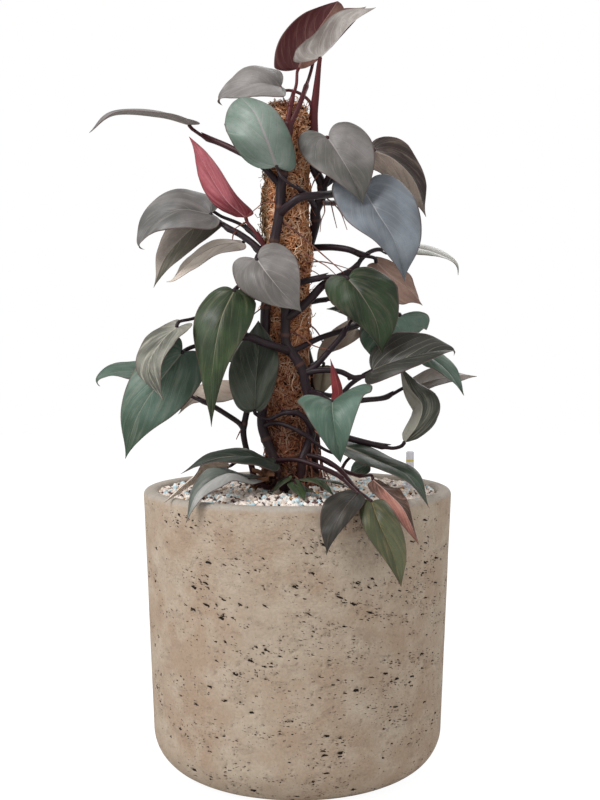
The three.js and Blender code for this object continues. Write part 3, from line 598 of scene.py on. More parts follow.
# The ring of bed between the root ball and the wall, as a plain sheet.
def bedSurface(name):
    columns, rows = 96, 10
    points, faces = [], []
    for i in range(rows + 1):
        f = i / rows
        for k in range(columns):
            angle = fullTurn * k / columns
            atWall = around((0, 0), bed["outer"], angle)
            atPlant = around(rootBall["centre"], bed["inner"], angle)
            x, y = [far * f + near * (1 - f) for far, near in zip(atWall, atPlant)]
            level = bed["plantLevel"] + (bed["wallLevel"] - bed["plantLevel"]) * f
            level = max(level, moundLevel(x, y) + 0.4)
            points.append((x, y, level + 0.9 * math.sin(3 * angle + 1.3) * math.sin(math.pi * f)))
    for i in range(rows):
        for k in range(columns):
            a, b = i * columns + k, i * columns + (k + 1) % columns
            faces.append((a, a + columns, b + columns, b))
    return makeMesh(name, points, faces, [])


def makeBed():
    dress("substrate", bedFinish())
    area = math.pi * (bed["outer"] ** 2 - bed["inner"] ** 2) * mm * mm
    tree = strewGrowth()
    for number, (kind, (count, sizes, tone, deep)) in enumerate(bed["kinds"].items()):
        sheet = bedSurface("grains_" + kind)
        grow(sheet, tree, {
            "Count per square metre": count / area, "Smallest": sizes[0], "Largest": sizes[1],
            "Radius": bed["grainSize"] * mm, "Seed": bed["seed"] + number, "Lift": bed["layerDepth"] * mm,
            "Grain": grainFinish(kind + "Grain", tone, deep),
        })
        flatten(sheet)
        mount(sheet, "grains")


# Root ball: dark mound of bark, roots and crumbs

rootBall = {
    "centre": (-10, -6), "bottom": 150, "level": 259, "radius": 49, "seed": 5,
    "flakes": {"bark_chips": (190, 5, 11, 38), "bark_crumbs": (1000, 1.6, 4.2, 42)},    # count, sizes, reach
    "rootCount": 60,
    "chunks": (((-33, -34, 272), 18), ((-27, -37, 279), 17), ((-37, -32, 280), 16), ((-30, -35, 284), 13)),
    "slope": ((0, 281), (20, 279), (27, 272), (33, 263), (39, 259), (52, 256)),    # distance out, level
    "earth": paint(58, 42, 34), "peat": paint(34, 25, 21), "bark": paint(122, 83, 58),
    # block and its pale tone are a lighter copy of the bark: painted light on the chunks.
    "barkPale": paint(178, 134, 98), "block": paint(178, 130, 102), "blockLitPale": paint(212, 170, 142),
    "root": paint(84, 46, 40), "rootPale": paint(140, 88, 68),
}


def moundLevel(x, y):
    r = math.hypot(x - rootBall["centre"][0], y - rootBall["centre"][1])
    lumps = 1.6 * math.sin(x * 0.31 + 1) * math.sin(y * 0.27)
    lumps += 0.8 * math.sin(x * 0.7) * math.sin(y * 0.63 + 2)
    return float(np.interp(r, *zip(*rootBall["slope"]))) + lumps * (r < 45)


def makeMound():
    columns, rings = 72, 34
    centre, radius, bottom = rootBall["centre"], rootBall["radius"], rootBall["bottom"]
    layers = [(radius * i / rings, None) for i in range(1, rings + 1)]
    layers += [(radius, rootBall["level"] - 14), (radius, bottom + 45), (radius * 0.87, bottom)]
    points = [(*centre, moundLevel(*centre))]
    for reach, level in layers:
        for k in range(columns):
            x, y = around(centre, reach, fullTurn * k / columns)
            points.append((x, y, moundLevel(x, y) if level is None else level))
    points.append((*centre, bottom))
    faces = []
    last = 1 + (len(layers) - 1) * columns
    for k in range(columns):
        n = (k + 1) % columns
        faces.append((0, 1 + k, 1 + n))
        faces += [(a + k, a + columns + k, a + columns + n, a + n) for a in range(1, last, columns)]
        faces.append((last + k, len(points) - 1, last + n))
    mount(makeMesh("root_mound", points, faces, [earthFinish()]), "roots", "root_ball")


def earthFinish():
    finish, tree, place = newFinish("rootBallEarth", Roughness=0.95, Specular_IOR_Level=0.2)
    strands = ease(tree, speckle(tree, stretched(tree, place, (1, 3, 2)), 260.0, 6.0, 0.75), 0.42, 0.6)
    bits = ease(tree, cells(tree, place, 420.0), 0.2, 0.1, 0.0, 0.7)
    colour = layered(tree, rootBall["peat"], (strands, rootBall["earth"]), (bits, rootBall["bark"]))
    connect(tree, colour, None, strands, 0.0015, 1.0)
    return finish


def barkFinish(name, dark, bark, pale):
    finish, tree, place = newFinish(name, Roughness=0.85, Specular_IOR_Level=0.25)
    grain = speckle(tree, stretched(tree, place, (1, 1, 5)), 300.0)
    colour = layered(tree, dark, (cellDraw(tree, place, 90.0, 1), bark),
                     (ease(tree, grain, 0.5, 0.75, 0.0, 0.8), pale))
    connect(tree, colour, None, grain, 0.0006, 0.9)
    return finish


# One angular flake of bark.
def chip(draw, centre, size):
    sides = draw.randint(5, 6)
    long, wide, thick = [size * draw.uniform(*span) for span in ((0.8, 1.3), (0.35, 0.65), (0.15, 0.3))]
    turn = draw.uniform(0, fullTurn)
    cosine, sine = math.cos(turn), math.sin(turn)
    tilt = draw.uniform(-0.5, 0.5), draw.uniform(-0.5, 0.5)
    points = []
    for level in (-0.5, 0.5):
        for k in range(sides):
            angle = fullTurn * k / sides + draw.uniform(-0.2, 0.2)
            x, y = long * math.cos(angle) * 0.5, wide * math.sin(angle) * 0.5
            x, y = x * cosine + y * sine, y * cosine - x * sine
            rise = level * thick + x * tilt[0] + y * tilt[1]
            points.append((centre[0] + x, centre[1] + y, centre[2] + rise))
    faces = [tuple(range(sides - 1, -1, -1)), tuple(range(sides, 2 * sides))]
    faces += [(k, (k + 1) % sides, sides + (k + 1) % sides, sides + k) for k in range(sides)]
    return points, faces, [(0, 0)] * sum(len(f) for f in faces)


def makeRootBall():
    makeMound()
    draw = random.Random(rootBall["seed"])
    centre = rootBall["centre"]
    lots = {}
    for name, (count, low, high, furthest) in rootBall["flakes"].items():
        lots[name] = []
        for _ in range(count):
            reach = furthest * math.sqrt(draw.uniform(0.02, 1))
            x, y = around(centre, reach, draw.uniform(0, fullTurn))
            place = x, y, moundLevel(x, y) + draw.uniform(0, 1.2)
            lots[name].append(chip(draw, place, draw.uniform(low, high)))
    lots["bark_block"] = [chip(draw, place, size) for place, size in rootBall["chunks"]]
    chips = barkFinish("barkChips", rootBall["earth"], rootBall["bark"], rootBall["barkPale"])
    # The chunks take the lighter copy of the bark finish: painted light on them.
    block = barkFinish("barkBlockLit", rootBall["bark"], rootBall["block"], rootBall["blockLitPale"])
    for name, parts in lots.items():
        points, faces, _, _ = joinParts(parts)
        thing = makeMesh(name, points, faces, [block if name == "bark_block" else chips])
        flatten(thing)
        mount(thing, "roots")
    roots = []
    for _ in range(rootBall["rootCount"]):
        angle, reach = draw.uniform(0, fullTurn), draw.uniform(8, 30)
        path = []
        for _ in range(5):
            x, y = around(centre, reach, angle)
            path.append((x, y, moundLevel(x, y) + draw.uniform(0.2, 2.2)))
            angle += draw.uniform(-0.45, 0.45)
            reach += draw.uniform(2, 7)
        roots.append(tubeParts(path, tapered(draw.uniform(0.35, 0.9), 0.6), 5, 3))
    points, faces, uvs, _ = joinParts(roots)
    mount(makeMesh("surface_roots", points, faces, [rootFinish()], uvs=uvs), "roots")


# A root's radius, which shrinks by a share towards its tip.
def tapered(thick, share):
    return lambda f, run: thick * (1 - share * f)


def rootFinish():
    finish, tree, place = newFinish("airRoots", Specular_IOR_Level=0.35)
    patch = speckle(tree, place, 180.0)
    colour = blendColour(tree, ease(tree, patch, 0.35, 0.65), rootBall["root"], rootBall["rootPale"])
    connect(tree, colour, ease(tree, patch, 0.2, 0.8, 0.5, 0.8), patch, 0.0003, 0.5)
    return finish


# Climbing pole: matted coir fibres round a stake

pole = {
    "centre": (-9.5, 0), "radius": 18.0, "bore": 10.2, "bottom": 226, "top": 621, "visibleFrom": 268,
    "fibresTo": 606, "fibreLength": (14, 40), "fibreRadius": 0.5, "bulge": 3.5, "lumps": 13,
    "bulgeFrom": (495, 525), "bulgeTo": (545, 575), "columns": 96, "rows": 150,
    # The two core tones are the coir's own brown darkened: painted shade of the gaps between the fibres.
    "core": paint(88, 54, 38), "coreDark": paint(36, 23, 17), "coir": paint(230, 164, 119),
    "straw": paint(255, 226, 195), "rust": paint(132, 78, 54), "moss": paint(60, 66, 46),
    "cane": paint(150, 116, 76), "canePale": paint(196, 160, 112),
}
strandSteps = 8
core = {"Inner radius": 0.012}

# What the fibres of every lot share, in metres and radians, then each lot's own
fibre = {
    "Count": 2700, "Radius": pole["radius"] * mm,
    "Bottom": pole["visibleFrom"] * mm, "Top": pole["fibresTo"] * mm,
    "Shortest": pole["fibreLength"][0] * mm, "Longest": pole["fibreLength"][1] * mm,
    "Thickness": pole["fibreRadius"] * mm, "Lean": 1.45, "Wave": 0.02, "Standing": 0.0018,
    "Bulge": pole["bulge"] * mm, "Tilt": 0.06, "Lay": 0.0, "Seed": 1,
}
tuft = {
    **fibre, "Count": 900, "Radius": 0.0145, "Bottom": 0.604, "Top": 0.616, "Shortest": 0.012,
    "Longest": 0.024, "Thickness": 0.00036, "Lay": 1.57, "Lean": 0.8, "Tilt": 0.7, "Wave": 0.03,
    "Standing": 0.0035, "Seed": 80,
}
fibreLots = {
    "coir_fibres": fibre,
    "coir_fibres_b": {**fibre, "Count": 2300, "Shortest": 0.01, "Longest": 0.027, "Thickness": 0.00052,
                      "Standing": 0.0036, "Wave": 0.036, "Seed": 40},
    "coir_fuzz": {**fibre, "Count": 700, "Shortest": 0.009, "Longest": 0.022, "Thickness": 0.0003,
                  "Tilt": 0.8, "Standing": 0.005, "Wave": 0.03, "Seed": 60},
    "coir_top": tuft,
    "coir_top_b": {**tuft, "Count": 260, "Radius": 0.0085, "Bottom": 0.612, "Top": 0.618, "Seed": 90},
}


def coirFinish(name, deep):
    finish, tree, place = newFinish(name, Roughness=0.9, Specular_IOR_Level=0.15)
    x, _, z = axesOf(tree, place)
    strand = speckle(tree, stretched(tree, place, (1, 1, 0.4)), 900.0, 2.0)
    # The sleeve shows between the fibres; its darkened browns are painted shade of those gaps.
    if deep:
        patch = ease(tree, speckle(tree, place, 210.0, 3.0, 0.6), 0.4, 0.6)
        colour = blendColour(tree, patch, pole["coreDark"], pole["core"])
    else:
        tone = addNode(tree, "ShaderNodeAttribute", attribute_name="strandTone").outputs["Fac"]
        colour = layered(tree, pole["rust"], (ease(tree, tone, 0.0, 0.45), pole["coir"]),
                         (ease(tree, tone, 0.55, 1.0, 0.0, 0.9), pole["straw"]),
                         (ease(tree, strand, 0.52, 0.72, 0.0, 0.4), pole["rust"]))
    # Darker towards the bottom of the pole.
    lowDarkening = ease(tree, z, 0.29, 0.44, 0.5, 1.0)
    colour = dimmed(tree, colour, lowDarkening, calc(tree, "POWER", lowDarkening, 1.25), calc(tree, "POWER", lowDarkening, 1.2))
    mossy = times(tree, ease(tree, x, -0.031, -0.024, 1.0, 0.0),
                  times(tree, ease(tree, z, 0.48, 0.5), ease(tree, z, 0.56, 0.58, 1.0, 0.0)),
                  ease(tree, strand, 0.35, 0.6, 0.3, 0.9))
    connect(tree, blendColour(tree, mossy, colour, pole["moss"]), None, strand, 0.0005, 0.8)
    return finish


# The sleeve's lumps, pushed out from its axis where it is wider than the inner radius.
def swollen(tree, shape, inner):
    place = here(tree)
    axis = joined(tree, *[v * mm for v in pole["centre"]])
    flat = vectorCalc(tree, "MULTIPLY", vectorCalc(tree, "SUBTRACT", place, axis), (1, 1, 0))
    outside = calc(tree, "GREATER_THAN", vectorCalc(tree, "LENGTH", flat), inner)
    bumps = minus(tree, speckle(tree, place, 42.0, 2.0, 0.6), 0.5)
    push = times(tree, bumps, pole["lumps"] * mm, outside)
    return pushed(tree, shape, vectorCalc(tree, "SCALE", vectorCalc(tree, "NORMALIZE", flat), push))


def coreGrowth():
    tree, given, end = newGrowth("swollenCore", {**core, "Coir": None})
    return endGrowth(tree, end, swollen(tree, given["Geometry"], given["Inner radius"]), given["Coir"])


# Fibres are laid out flat, waved, then wrapped round the pole.
def fibreGrowth():
    tree, given, end = newGrowth("coirFibres", {**fibre, "Coir": None})

    def spread(low, high, seed):
        share = randomValue(tree, 0, 1, seed, given)
        return plus(tree, given[low], times(tree, share, minus(tree, given[high], given[low])))

    across = times(tree, randomValue(tree, 0, 1, 1, given), times(tree, given["Radius"], fullTurn))
    depth = times(tree, randomValue(tree, -0.25, 1, 3, given), given["Standing"])
    spot = joined(tree, across, depth, spread("Bottom", "Top", 2))
    starts = addNode(tree, "GeometryNodePoints", {"Count": given["Count"], "Position": spot}).outputs[0]
    ends = {"Start": (0, 0, -0.5), "End": (0, 0, 0.5)}
    line = addNode(tree, "GeometryNodeCurvePrimitiveLine", ends).outputs[0]
    steps = addNode(tree, "GeometryNodeResampleCurve", {"Curve": line, "Count": strandSteps}).outputs[0]
    swing = plus(tree, times(tree, randomValue(tree, -1, 1, 4, given), given["Lean"]), given["Lay"])
    turn = joined(tree, times(tree, randomValue(tree, -1, 1, 9, given), given["Tilt"]), swing)
    length = spread("Shortest", "Longest", 5)
    laid = addNode(tree, "GeometryNodeInstanceOnPoints", {
        "Points": starts, "Instance": steps, "Rotation": turn, "Scale": joined(tree, length, length, length),
    }).outputs[0]
    real = addNode(tree, "GeometryNodeRealizeInstances", {"Geometry": laid}).outputs[0]
    number = addNode(tree, "GeometryNodeInputIndex").outputs[0]
    strand = times(tree, calc(tree, "FLOOR", calc(tree, "DIVIDE", number, float(strandSteps))), 0.37)
    tone = addNode(tree, "ShaderNodeTexWhiteNoise", {"W": strand}, noise_dimensions="1D").outputs["Value"]
    real = addNode(tree, "GeometryNodeStoreNamedAttribute", {
        "Geometry": real, "Name": "strandTone", "Value": tone,
    }, data_type="FLOAT", domain="POINT").outputs[0]
    shifted = vectorCalc(tree, "ADD", here(tree), joined(tree, y=strand))
    sway = vectorCalc(tree, "MULTIPLY", drift(tree, shifted, 70.0, 1.0, 0.5), (1, 0.25, 1))
    waved = pushed(tree, real, vectorCalc(tree, "SCALE", sway, given["Wave"]))
    ring = addNode(tree, "GeometryNodeCurvePrimitiveCircle", {
        "Resolution": 3, "Radius": given["Thickness"],
    }).outputs[0]
    skin = addNode(tree, "GeometryNodeCurveToMesh", {
        "Curve": waved, "Profile Curve": ring, "Fill Caps": True,
    }).outputs[0]
    x, y, z = axesOf(tree, here(tree))
    angle = calc(tree, "DIVIDE", x, given["Radius"])
    cosine, sine = calc(tree, "COSINE", angle), calc(tree, "SINE", angle)
    high = times(tree, ease(tree, z, *[v * mm for v in pole["bulgeFrom"]]),
                 ease(tree, z, *[v * mm for v in pole["bulgeTo"]], 1.0, 0.0))
    leftwards = calc(tree, "MAXIMUM", times(tree, cosine, -1.0), 0.0)
    swell = times(tree, high, calc(tree, "POWER", leftwards, 2.0), given["Bulge"])
    reach = plus(tree, plus(tree, given["Radius"], y), swell)
    wrapped = joined(tree, plus(tree, times(tree, reach, cosine), pole["centre"][0] * mm),
                     plus(tree, times(tree, reach, sine), pole["centre"][1] * mm), z)
    bent = addNode(tree, "GeometryNodeSetPosition", {"Geometry": skin, "Position": wrapped}).outputs[0]
    return endGrowth(tree, end, swollen(tree, bent, 0.0), given["Coir"])


# The sleeve under the fibres, with the bulge at its upper left.
def makeCore():
    p = pole
    bore, bottom, top = p["bore"], p["bottom"], p["top"]
    profile = [(bore, bottom)] + [(p["radius"] - 0.6, z) for z in np.linspace(bottom, top - 4, p["rows"])]
    profile += [(p["radius"] - 2.4, top - 2), (p["radius"] - 5, top - 1), (bore, top - 3), (bore, bottom)]
    points, faces = lathe(profile, p["columns"], p["centre"])
    points = np.array(points)
    out = points[:, :2] - np.array(p["centre"])
    reach = np.linalg.norm(out, axis=1)
    high = smooth(points[:, 2], *p["bulgeFrom"]) * (1 - smooth(points[:, 2], *p["bulgeTo"]))
    leftwards = np.maximum(-out[:, 0] / reach, 0)
    push = np.where(reach > core["Inner radius"] / mm, p["bulge"] * high * leftwards ** 2, 0)
    points[:, :2] += out / reach[:, None] * push[:, None]
    finish = coirFinish("coirCore", True)
    sleeve = makeMesh("coir_core", points, faces, [finish])
    grow(sleeve, coreGrowth(), {**core, "Coir": finish})
    mount(sleeve, "coir", "pole_sleeve")


def makePole():
    makeCore()
    finish = coirFinish("coirFibre", False)
    tree = fibreGrowth()
    for name, inputs in fibreLots.items():
        lot = makeMesh(name, [(0, 0, 300), (1, 0, 300), (0, 1, 300)], [(0, 1, 2)], [])
        grow(lot, tree, {**inputs, "Coir": finish})
        mount(lot, "coir")
    stake, tree, place = newFinish("stakeCane", Roughness=0.7)
    grain = speckle(tree, stretched(tree, place, (1, 1, 0.08)), 500.0)
    connect(tree, blendColour(tree, grain, pole["cane"], pole["canePale"]))
    dress("pole_stake", stake)


# Water gauge; the band's level and half width are in metres

gauge = {
    "plastic": paint(232, 231, 236), "plasticPale": paint(240, 238, 246), "band": paint(224, 206, 110),
    "bandLevel": 0.2862, "bandHalf": 0.0009, "red": paint(178, 36, 40), "redDark": paint(150, 24, 30),
}


def makeGauge():
    tube, tree, place = newFinish("gaugePlastic", Roughness=0.2, Alpha=0.72, IOR=1.4)
    cloud = speckle(tree, place, 120.0, 2.0)
    off = calc(tree, "ABSOLUTE", minus(tree, axesOf(tree, place)[2], gauge["bandLevel"]))
    banded = ease(tree, off, gauge["bandHalf"] + 0.0002, gauge["bandHalf"])
    connect(tree, layered(tree, gauge["plastic"], (cloud, gauge["plasticPale"]), (banded, gauge["band"])))
    dress("gauge_tube", tube)
    rod, tree, place = newFinish("gaugeRed", Roughness=0.35)
    connect(tree, blendColour(tree, speckle(tree, place, 300.0), gauge["red"], gauge["redDark"]))
    dress("gauge_float", rod)


# Leaf blades

blade = {
    "thickness": 0.55, "edgeThickness": 0.3, "arch": 0.05, "steps": 120, "rows": 58, "veins": 9, "slant": 0.3,
    "quilt": 0.46, "groove": 0.75, "grooveReach": 1.5, "wave": 0.9, "billow": 1.5, "fullWaveFrom": 22,
    "sweep": 0.16, "wideRibs": {"sage": 1.9, "stripe": 3.0, "moor": 1.8}, "margin": paint(98, 76, 70),
    "rim": paint(72, 50, 48), "rimPale": paint(128, 100, 90),
}

# Half a blade: how far along the midrib, and how far across, from the stalk round the lobe to the tip
forms = {
    "heart": ((0, 0), (-0.055, 0.09), (-0.125, 0.27), (-0.15, 0.5), (-0.1, 0.77), (0.05, 0.955), (0.25, 1.0),
              (0.45, 0.87), (0.62, 0.64), (0.76, 0.38), (0.87, 0.165), (0.95, 0.045), (1.0, 0.0)),
    "oval": ((0, 0), (-0.03, 0.12), (-0.07, 0.3), (-0.075, 0.52), (-0.01, 0.78), (0.16, 0.95), (0.36, 1.0),
             (0.56, 0.95), (0.74, 0.78), (0.88, 0.5), (0.965, 0.22), (1.0, 0.0)),
    "taper": ((0, 0), (-0.05, 0.1), (-0.1, 0.3), (-0.1, 0.56), (-0.02, 0.86), (0.11, 1.0), (0.26, 0.97),
              (0.4, 0.78), (0.54, 0.53), (0.68, 0.34), (0.82, 0.17), (0.93, 0.05), (1.0, 0.0)),
    "round": ((0, 0), (-0.04, 0.14), (-0.07, 0.34), (-0.08, 0.56), (-0.03, 0.79), (0.1, 0.95), (0.3, 1.0),
              (0.52, 0.97), (0.73, 0.84), (0.88, 0.6), (0.97, 0.3), (1.0, 0.0)),
    "kite": ((0, 0), (-0.02, 0.14), (-0.05, 0.35), (-0.08, 0.62), (-0.08, 0.86), (-0.01, 1.0), (0.14, 0.94),
             (0.34, 0.74), (0.53, 0.51), (0.72, 0.29), (0.88, 0.12), (1.0, 0.0)),
    "lance": ((0, 0), (-0.04, 0.1), (-0.06, 0.28), (-0.03, 0.5), (0.08, 0.76), (0.24, 0.95), (0.4, 1.0),
              (0.57, 0.88), (0.71, 0.64), (0.83, 0.37), (0.93, 0.14), (1.0, 0.0)),
}
columnStops = [0, 0.018, 0.045, 0.09, 0.16, 0.26, 0.38, 0.51, 0.64, 0.77, 0.88, 0.955, 1.0]

# Midrib from stalk to tip, then the left and right edge abreast of its second point, upper face up, tip up.
# curl is where the tip starts to bend and by how many degrees; the other numbers scale the blade's own.
leaves = {
    "top_1": dict(midrib=[[1, -8, 653], [11, -6, 676], [38, 10, 720]], left=[34, 8, 685],
        right=[-17, -2, 681], form="oval", lobe=0.4),
    "top_2": dict(midrib=[[21, -22, 660], [32, -26, 670], [50, -24, 691], [72, -16, 707]],
        left=[27, -4, 684], right=[8, -38, 671]),
    "top_3": dict(midrib=[[19, 16, 681], [41, 28, 707], [66, 34, 722]], left=[53, 42, 707],
        right=[35, 32, 718]),
    "top_4": dict(midrib=[[-16, 1, 638], [-37, -6, 640], [-58, -4, 634], [-80, 6, 625]],
        left=[-36, -28, 623], right=[-41, 14, 661], lobe=0.35, curl=(0.84, 100)),
    "sage": dict(midrib=[[-19, -44, 558], [-28, -60, 581], [-38, -56, 603], [-51, -40, 620]],
        left=[-64, -48, 588], right=[-5, -44, 583], straight=True, form="round", wave=0.5),
    "level": dict(midrib=[[-103, 10, 605], [-129, 0, 610], [-169, -15, 609], [-191, -25, 591]],
        left=[-127, -32, 607], right=[-133, 30, 621], form="taper", wave=0.3, cup=0.6, quilt=0.15),
    "pink": dict(midrib=[[-48, -16, 515], [-69, -26, 535], [-100, -16, 589]], left=[-60, -42, 539],
        right=[-84, -12, 534], lobe=0.25, form="lance", wave=0.5),
    "blue_1": dict(midrib=[[-82, -6, 519], [-111, -14, 522], [-138, -10, 507], [-154, 0, 484]],
        left=[-109, -32, 503], right=[-119, 4, 542], lobe=0.7, curl=(0.86, 90)),
    "brown_1": dict(midrib=[[-83, 6, 519], [-106, 0, 500], [-126, 4, 477], [-137, 10, 451]],
        left=[-125, 16, 510], right=[-92, -8, 491], lobe=0.25),
    "beige_1": dict(midrib=[[-52, 12, 494], [-78, 10, 490], [-102, 8, 475], [-123, 6, 454]],
        left=[-86, 26, 496], right=[-74, -1, 482], lobe=0.5, form="lance", curl=(0.9, 35)),
    "grey_1": dict(midrib=[[28, -30, 585], [37, -38, 570], [49, -42, 549], [60, -34, 524]],
        left=[68, -30, 582], right=[7, -36, 565]),
    "brown_2": dict(midrib=[[73, 10, 580], [92, 8, 571], [111, 10, 551], [122, 10, 518]], left=[80, -4, 556],
        right=[107, 34, 590], lobe=0.6),
    "blue_2": dict(midrib=[[62, -22, 538], [73, -34, 517], [89, -36, 490], [99, -24, 455]],
        left=[109, -26, 529], right=[40, -35, 517], lobe=0.8),
    "pale_1": dict(midrib=[[91, 22, 488], [115, 22, 489], [142, 20, 481], [160, 18, 467]],
        left=[121, 46, 495], right=[115, -4, 481], wave=0.3, cup=0.6, quilt=0.15, curl=(0.8, 50)),
    "grey_2": dict(midrib=[[-36, -50, 473], [-27, -58, 460], [-12, -58, 442], [4, -52, 426]],
        left=[-1, -52, 475], right=[-51, -54, 446]),
    "green_1": dict(midrib=[[46, -46, 456], [58, -58, 440], [71, -54, 417], [77, -42, 388]],
        left=[91, -44, 447], right=[34, -52, 431], lobe=0.8),
    "brown_3": dict(midrib=[[74, -2, 474], [90, 2, 460], [107, 6, 448], [119, 8, 434]], left=[88, -16, 438],
        right=[107, 22, 465]),
    "small_1": dict(midrib=[[60, -18, 425], [46, -20, 428], [27, -22, 430]], left=[46, -30, 422],
        right=[47, -12, 434]),
    "green_2": dict(midrib=[[97, 8, 424], [88, 0, 411], [72, -4, 379]], left=[121, 12, 412],
        right=[58, -4, 410]),
    "olive_1": dict(midrib=[[69, -28, 373], [90, -40, 382], [123, -42, 390], [150, -28, 392]],
        left=[97, -18, 408], right=[89, -58, 369], lobe=0.35, curl=(0.88, 80)),
    "beige_2": dict(midrib=[[113, 14, 357], [133, 16, 363], [155, 18, 367], [173, 20, 366]],
        left=[134, -3, 359], right=[136, 42, 374]),
    "green_3": dict(midrib=[[114, -2, 392], [129, 0, 382], [144, -4, 369], [157, -8, 349]],
        left=[139, 16, 387], right=[122, -16, 375]),
    "twisted": dict(midrib=[[100, -20, 306], [111, -28, 323], [115, -28, 341], [104, -20, 357],
        [96, -10, 377]], left=[108, -5, 331], right=[131, -18, 329], lobe=0.15, straight=True, form="lance",
        wave=0.4),
    "kite": dict(midrib=[[31, -70, 346], [31, -88, 336], [34, -92, 314], [38, -84, 293]],
        left=[58, -84, 350], right=[7, -88, 336], form="kite", wave=0.5),
    "red": dict(midrib=[[36, -44, 343], [37, -45, 357], [30, -42, 384]], left=[31, -42, 359],
        right=[41, -40, 357], lobe=0.15, straight=True),
    "olive_2": dict(midrib=[[24, -2, 376], [23, -4, 363], [20, -6, 346]], left=[33, -8, 361],
        right=[15, -2, 361], lobe=0.4),
    "beige_3": dict(midrib=[[55, 12, 412], [37, 12, 400], [26, 10, 390], [17, 8, 377]], left=[44, 2, 394],
        right=[30, 18, 407], lobe=0.3, straight=True),
    "green_4": dict(midrib=[[-57, -54, 445], [-68, -70, 417], [-75, -74, 372], [-77, -62, 323]],
        left=[-45, -62, 408], right=[-93, -60, 412], lobe=0.35, form="taper"),
    "silver": dict(midrib=[[-108, -58, 412], [-120, -70, 399], [-130, -84, 376], [-117, -86, 348]],
        left=[-138, -51, 402], right=[-108, -86, 396], wave=0.6),
    "green_5": dict(midrib=[[-105, -44, 389], [-125, -58, 362], [-144, -60, 331], [-156, -52, 293]],
        left=[-102, -52, 342], right=[-148, -48, 374], lobe=0.7),
    "green_6": dict(midrib=[[-125, 6, 371], [-154, 0, 372], [-177, -5, 370], [-195, -10, 360]],
        left=[-151, -16, 363], right=[-157, 16, 381], curl=(0.84, 110)),
    "dark_1": dict(midrib=[[-39, -36, 337], [-38, -40, 361], [-36, -32, 390], [-36, -28, 419]],
        left=[-63, -36, 365], right=[-18, -38, 370], form="lance", lobe=0.7, wave=1.6),
    "beige_4": dict(midrib=[[-58, 22, 350], [-80, 22, 349], [-99, 20, 343], [-115, 16, 330]],
        left=[-81, 2, 342], right=[-84, 40, 360]),
    "long_1": dict(midrib=[[-23, -48, 288], [-46, -61, 296], [-74, -68, 295], [-104, -70, 282]],
        left=[-45, -84, 291], right=[-49, -40, 300], lobe=0.4),
    "pale_2": dict(midrib=[[-66, -8, 282], [-87, -40, 281], [-101, -76, 272], [-115, -101, 260]],
        left=[-93, -36, 270], right=[-88, -58, 287], lobe=0.2, straight=True),
    "grey_3": dict(midrib=[[-44, -62, 276], [-66, -88, 282], [-84, -118, 272], [-94, -126, 246]],
        left=[-60, -106, 276], right=[-67, -64, 286]),
    "long_2": dict(midrib=[[44, -32, 302], [70, -50, 292], [98, -80, 280], [114, -106, 256]],
        left=[80, -30, 296], right=[60, -68, 289]),
    "dark_2": dict(midrib=[[50, -132, 272], [39, -154, 263], [29, -160, 245], [24, -158, 225]],
        left=[46, -158, 256], right=[20, -152, 261], lobe=0.2),
    "gold": dict(midrib=[[62, -136, 266], [67, -152, 251], [78, -154, 226], [86, -150, 197]],
        left=[82, -145, 255], right=[52, -150, 253], lobe=0.1, form="lance"),
    "folded": dict(midrib=[[67, -78, 277], [77, -112, 270], [89, -134, 258], [102, -134, 229]],
        left=[69, -118, 266], right=[89, -90, 271], lobe=0.3, form="lance"),
    "small_2": dict(midrib=[[68, -12, 286], [59, -10, 282], [49, -8, 275]], left=[60, -18, 275],
        right=[56, 0, 286], lobe=0.3, straight=True),
    "back_1": dict(midrib=[[53, 46, 533], [66, 72, 525], [91, 95, 505]], left=[66, 86, 511],
        right=[72, 64, 545]),
    "back_2": dict(midrib=[[-19, 46, 484], [-26, 74, 474], [-37, 100, 453]], left=[-44, 82, 471],
        right=[-6, 84, 473]),
    "back_3": dict(midrib=[[-51, 44, 401], [-66, 70, 402], [-90, 98, 398]], left=[-66, 74, 379],
        right=[-69, 78, 424]),
    "back_4": dict(midrib=[[52, 46, 441], [65, 72, 442], [87, 100, 437]], left=[65, 80, 464],
        right=[63, 78, 420]),
    "back_5": dict(midrib=[[-23, 44, 589], [-32, 72, 603], [-47, 94, 626]], left=[-54, 76, 600],
        right=[-14, 80, 619]),
}

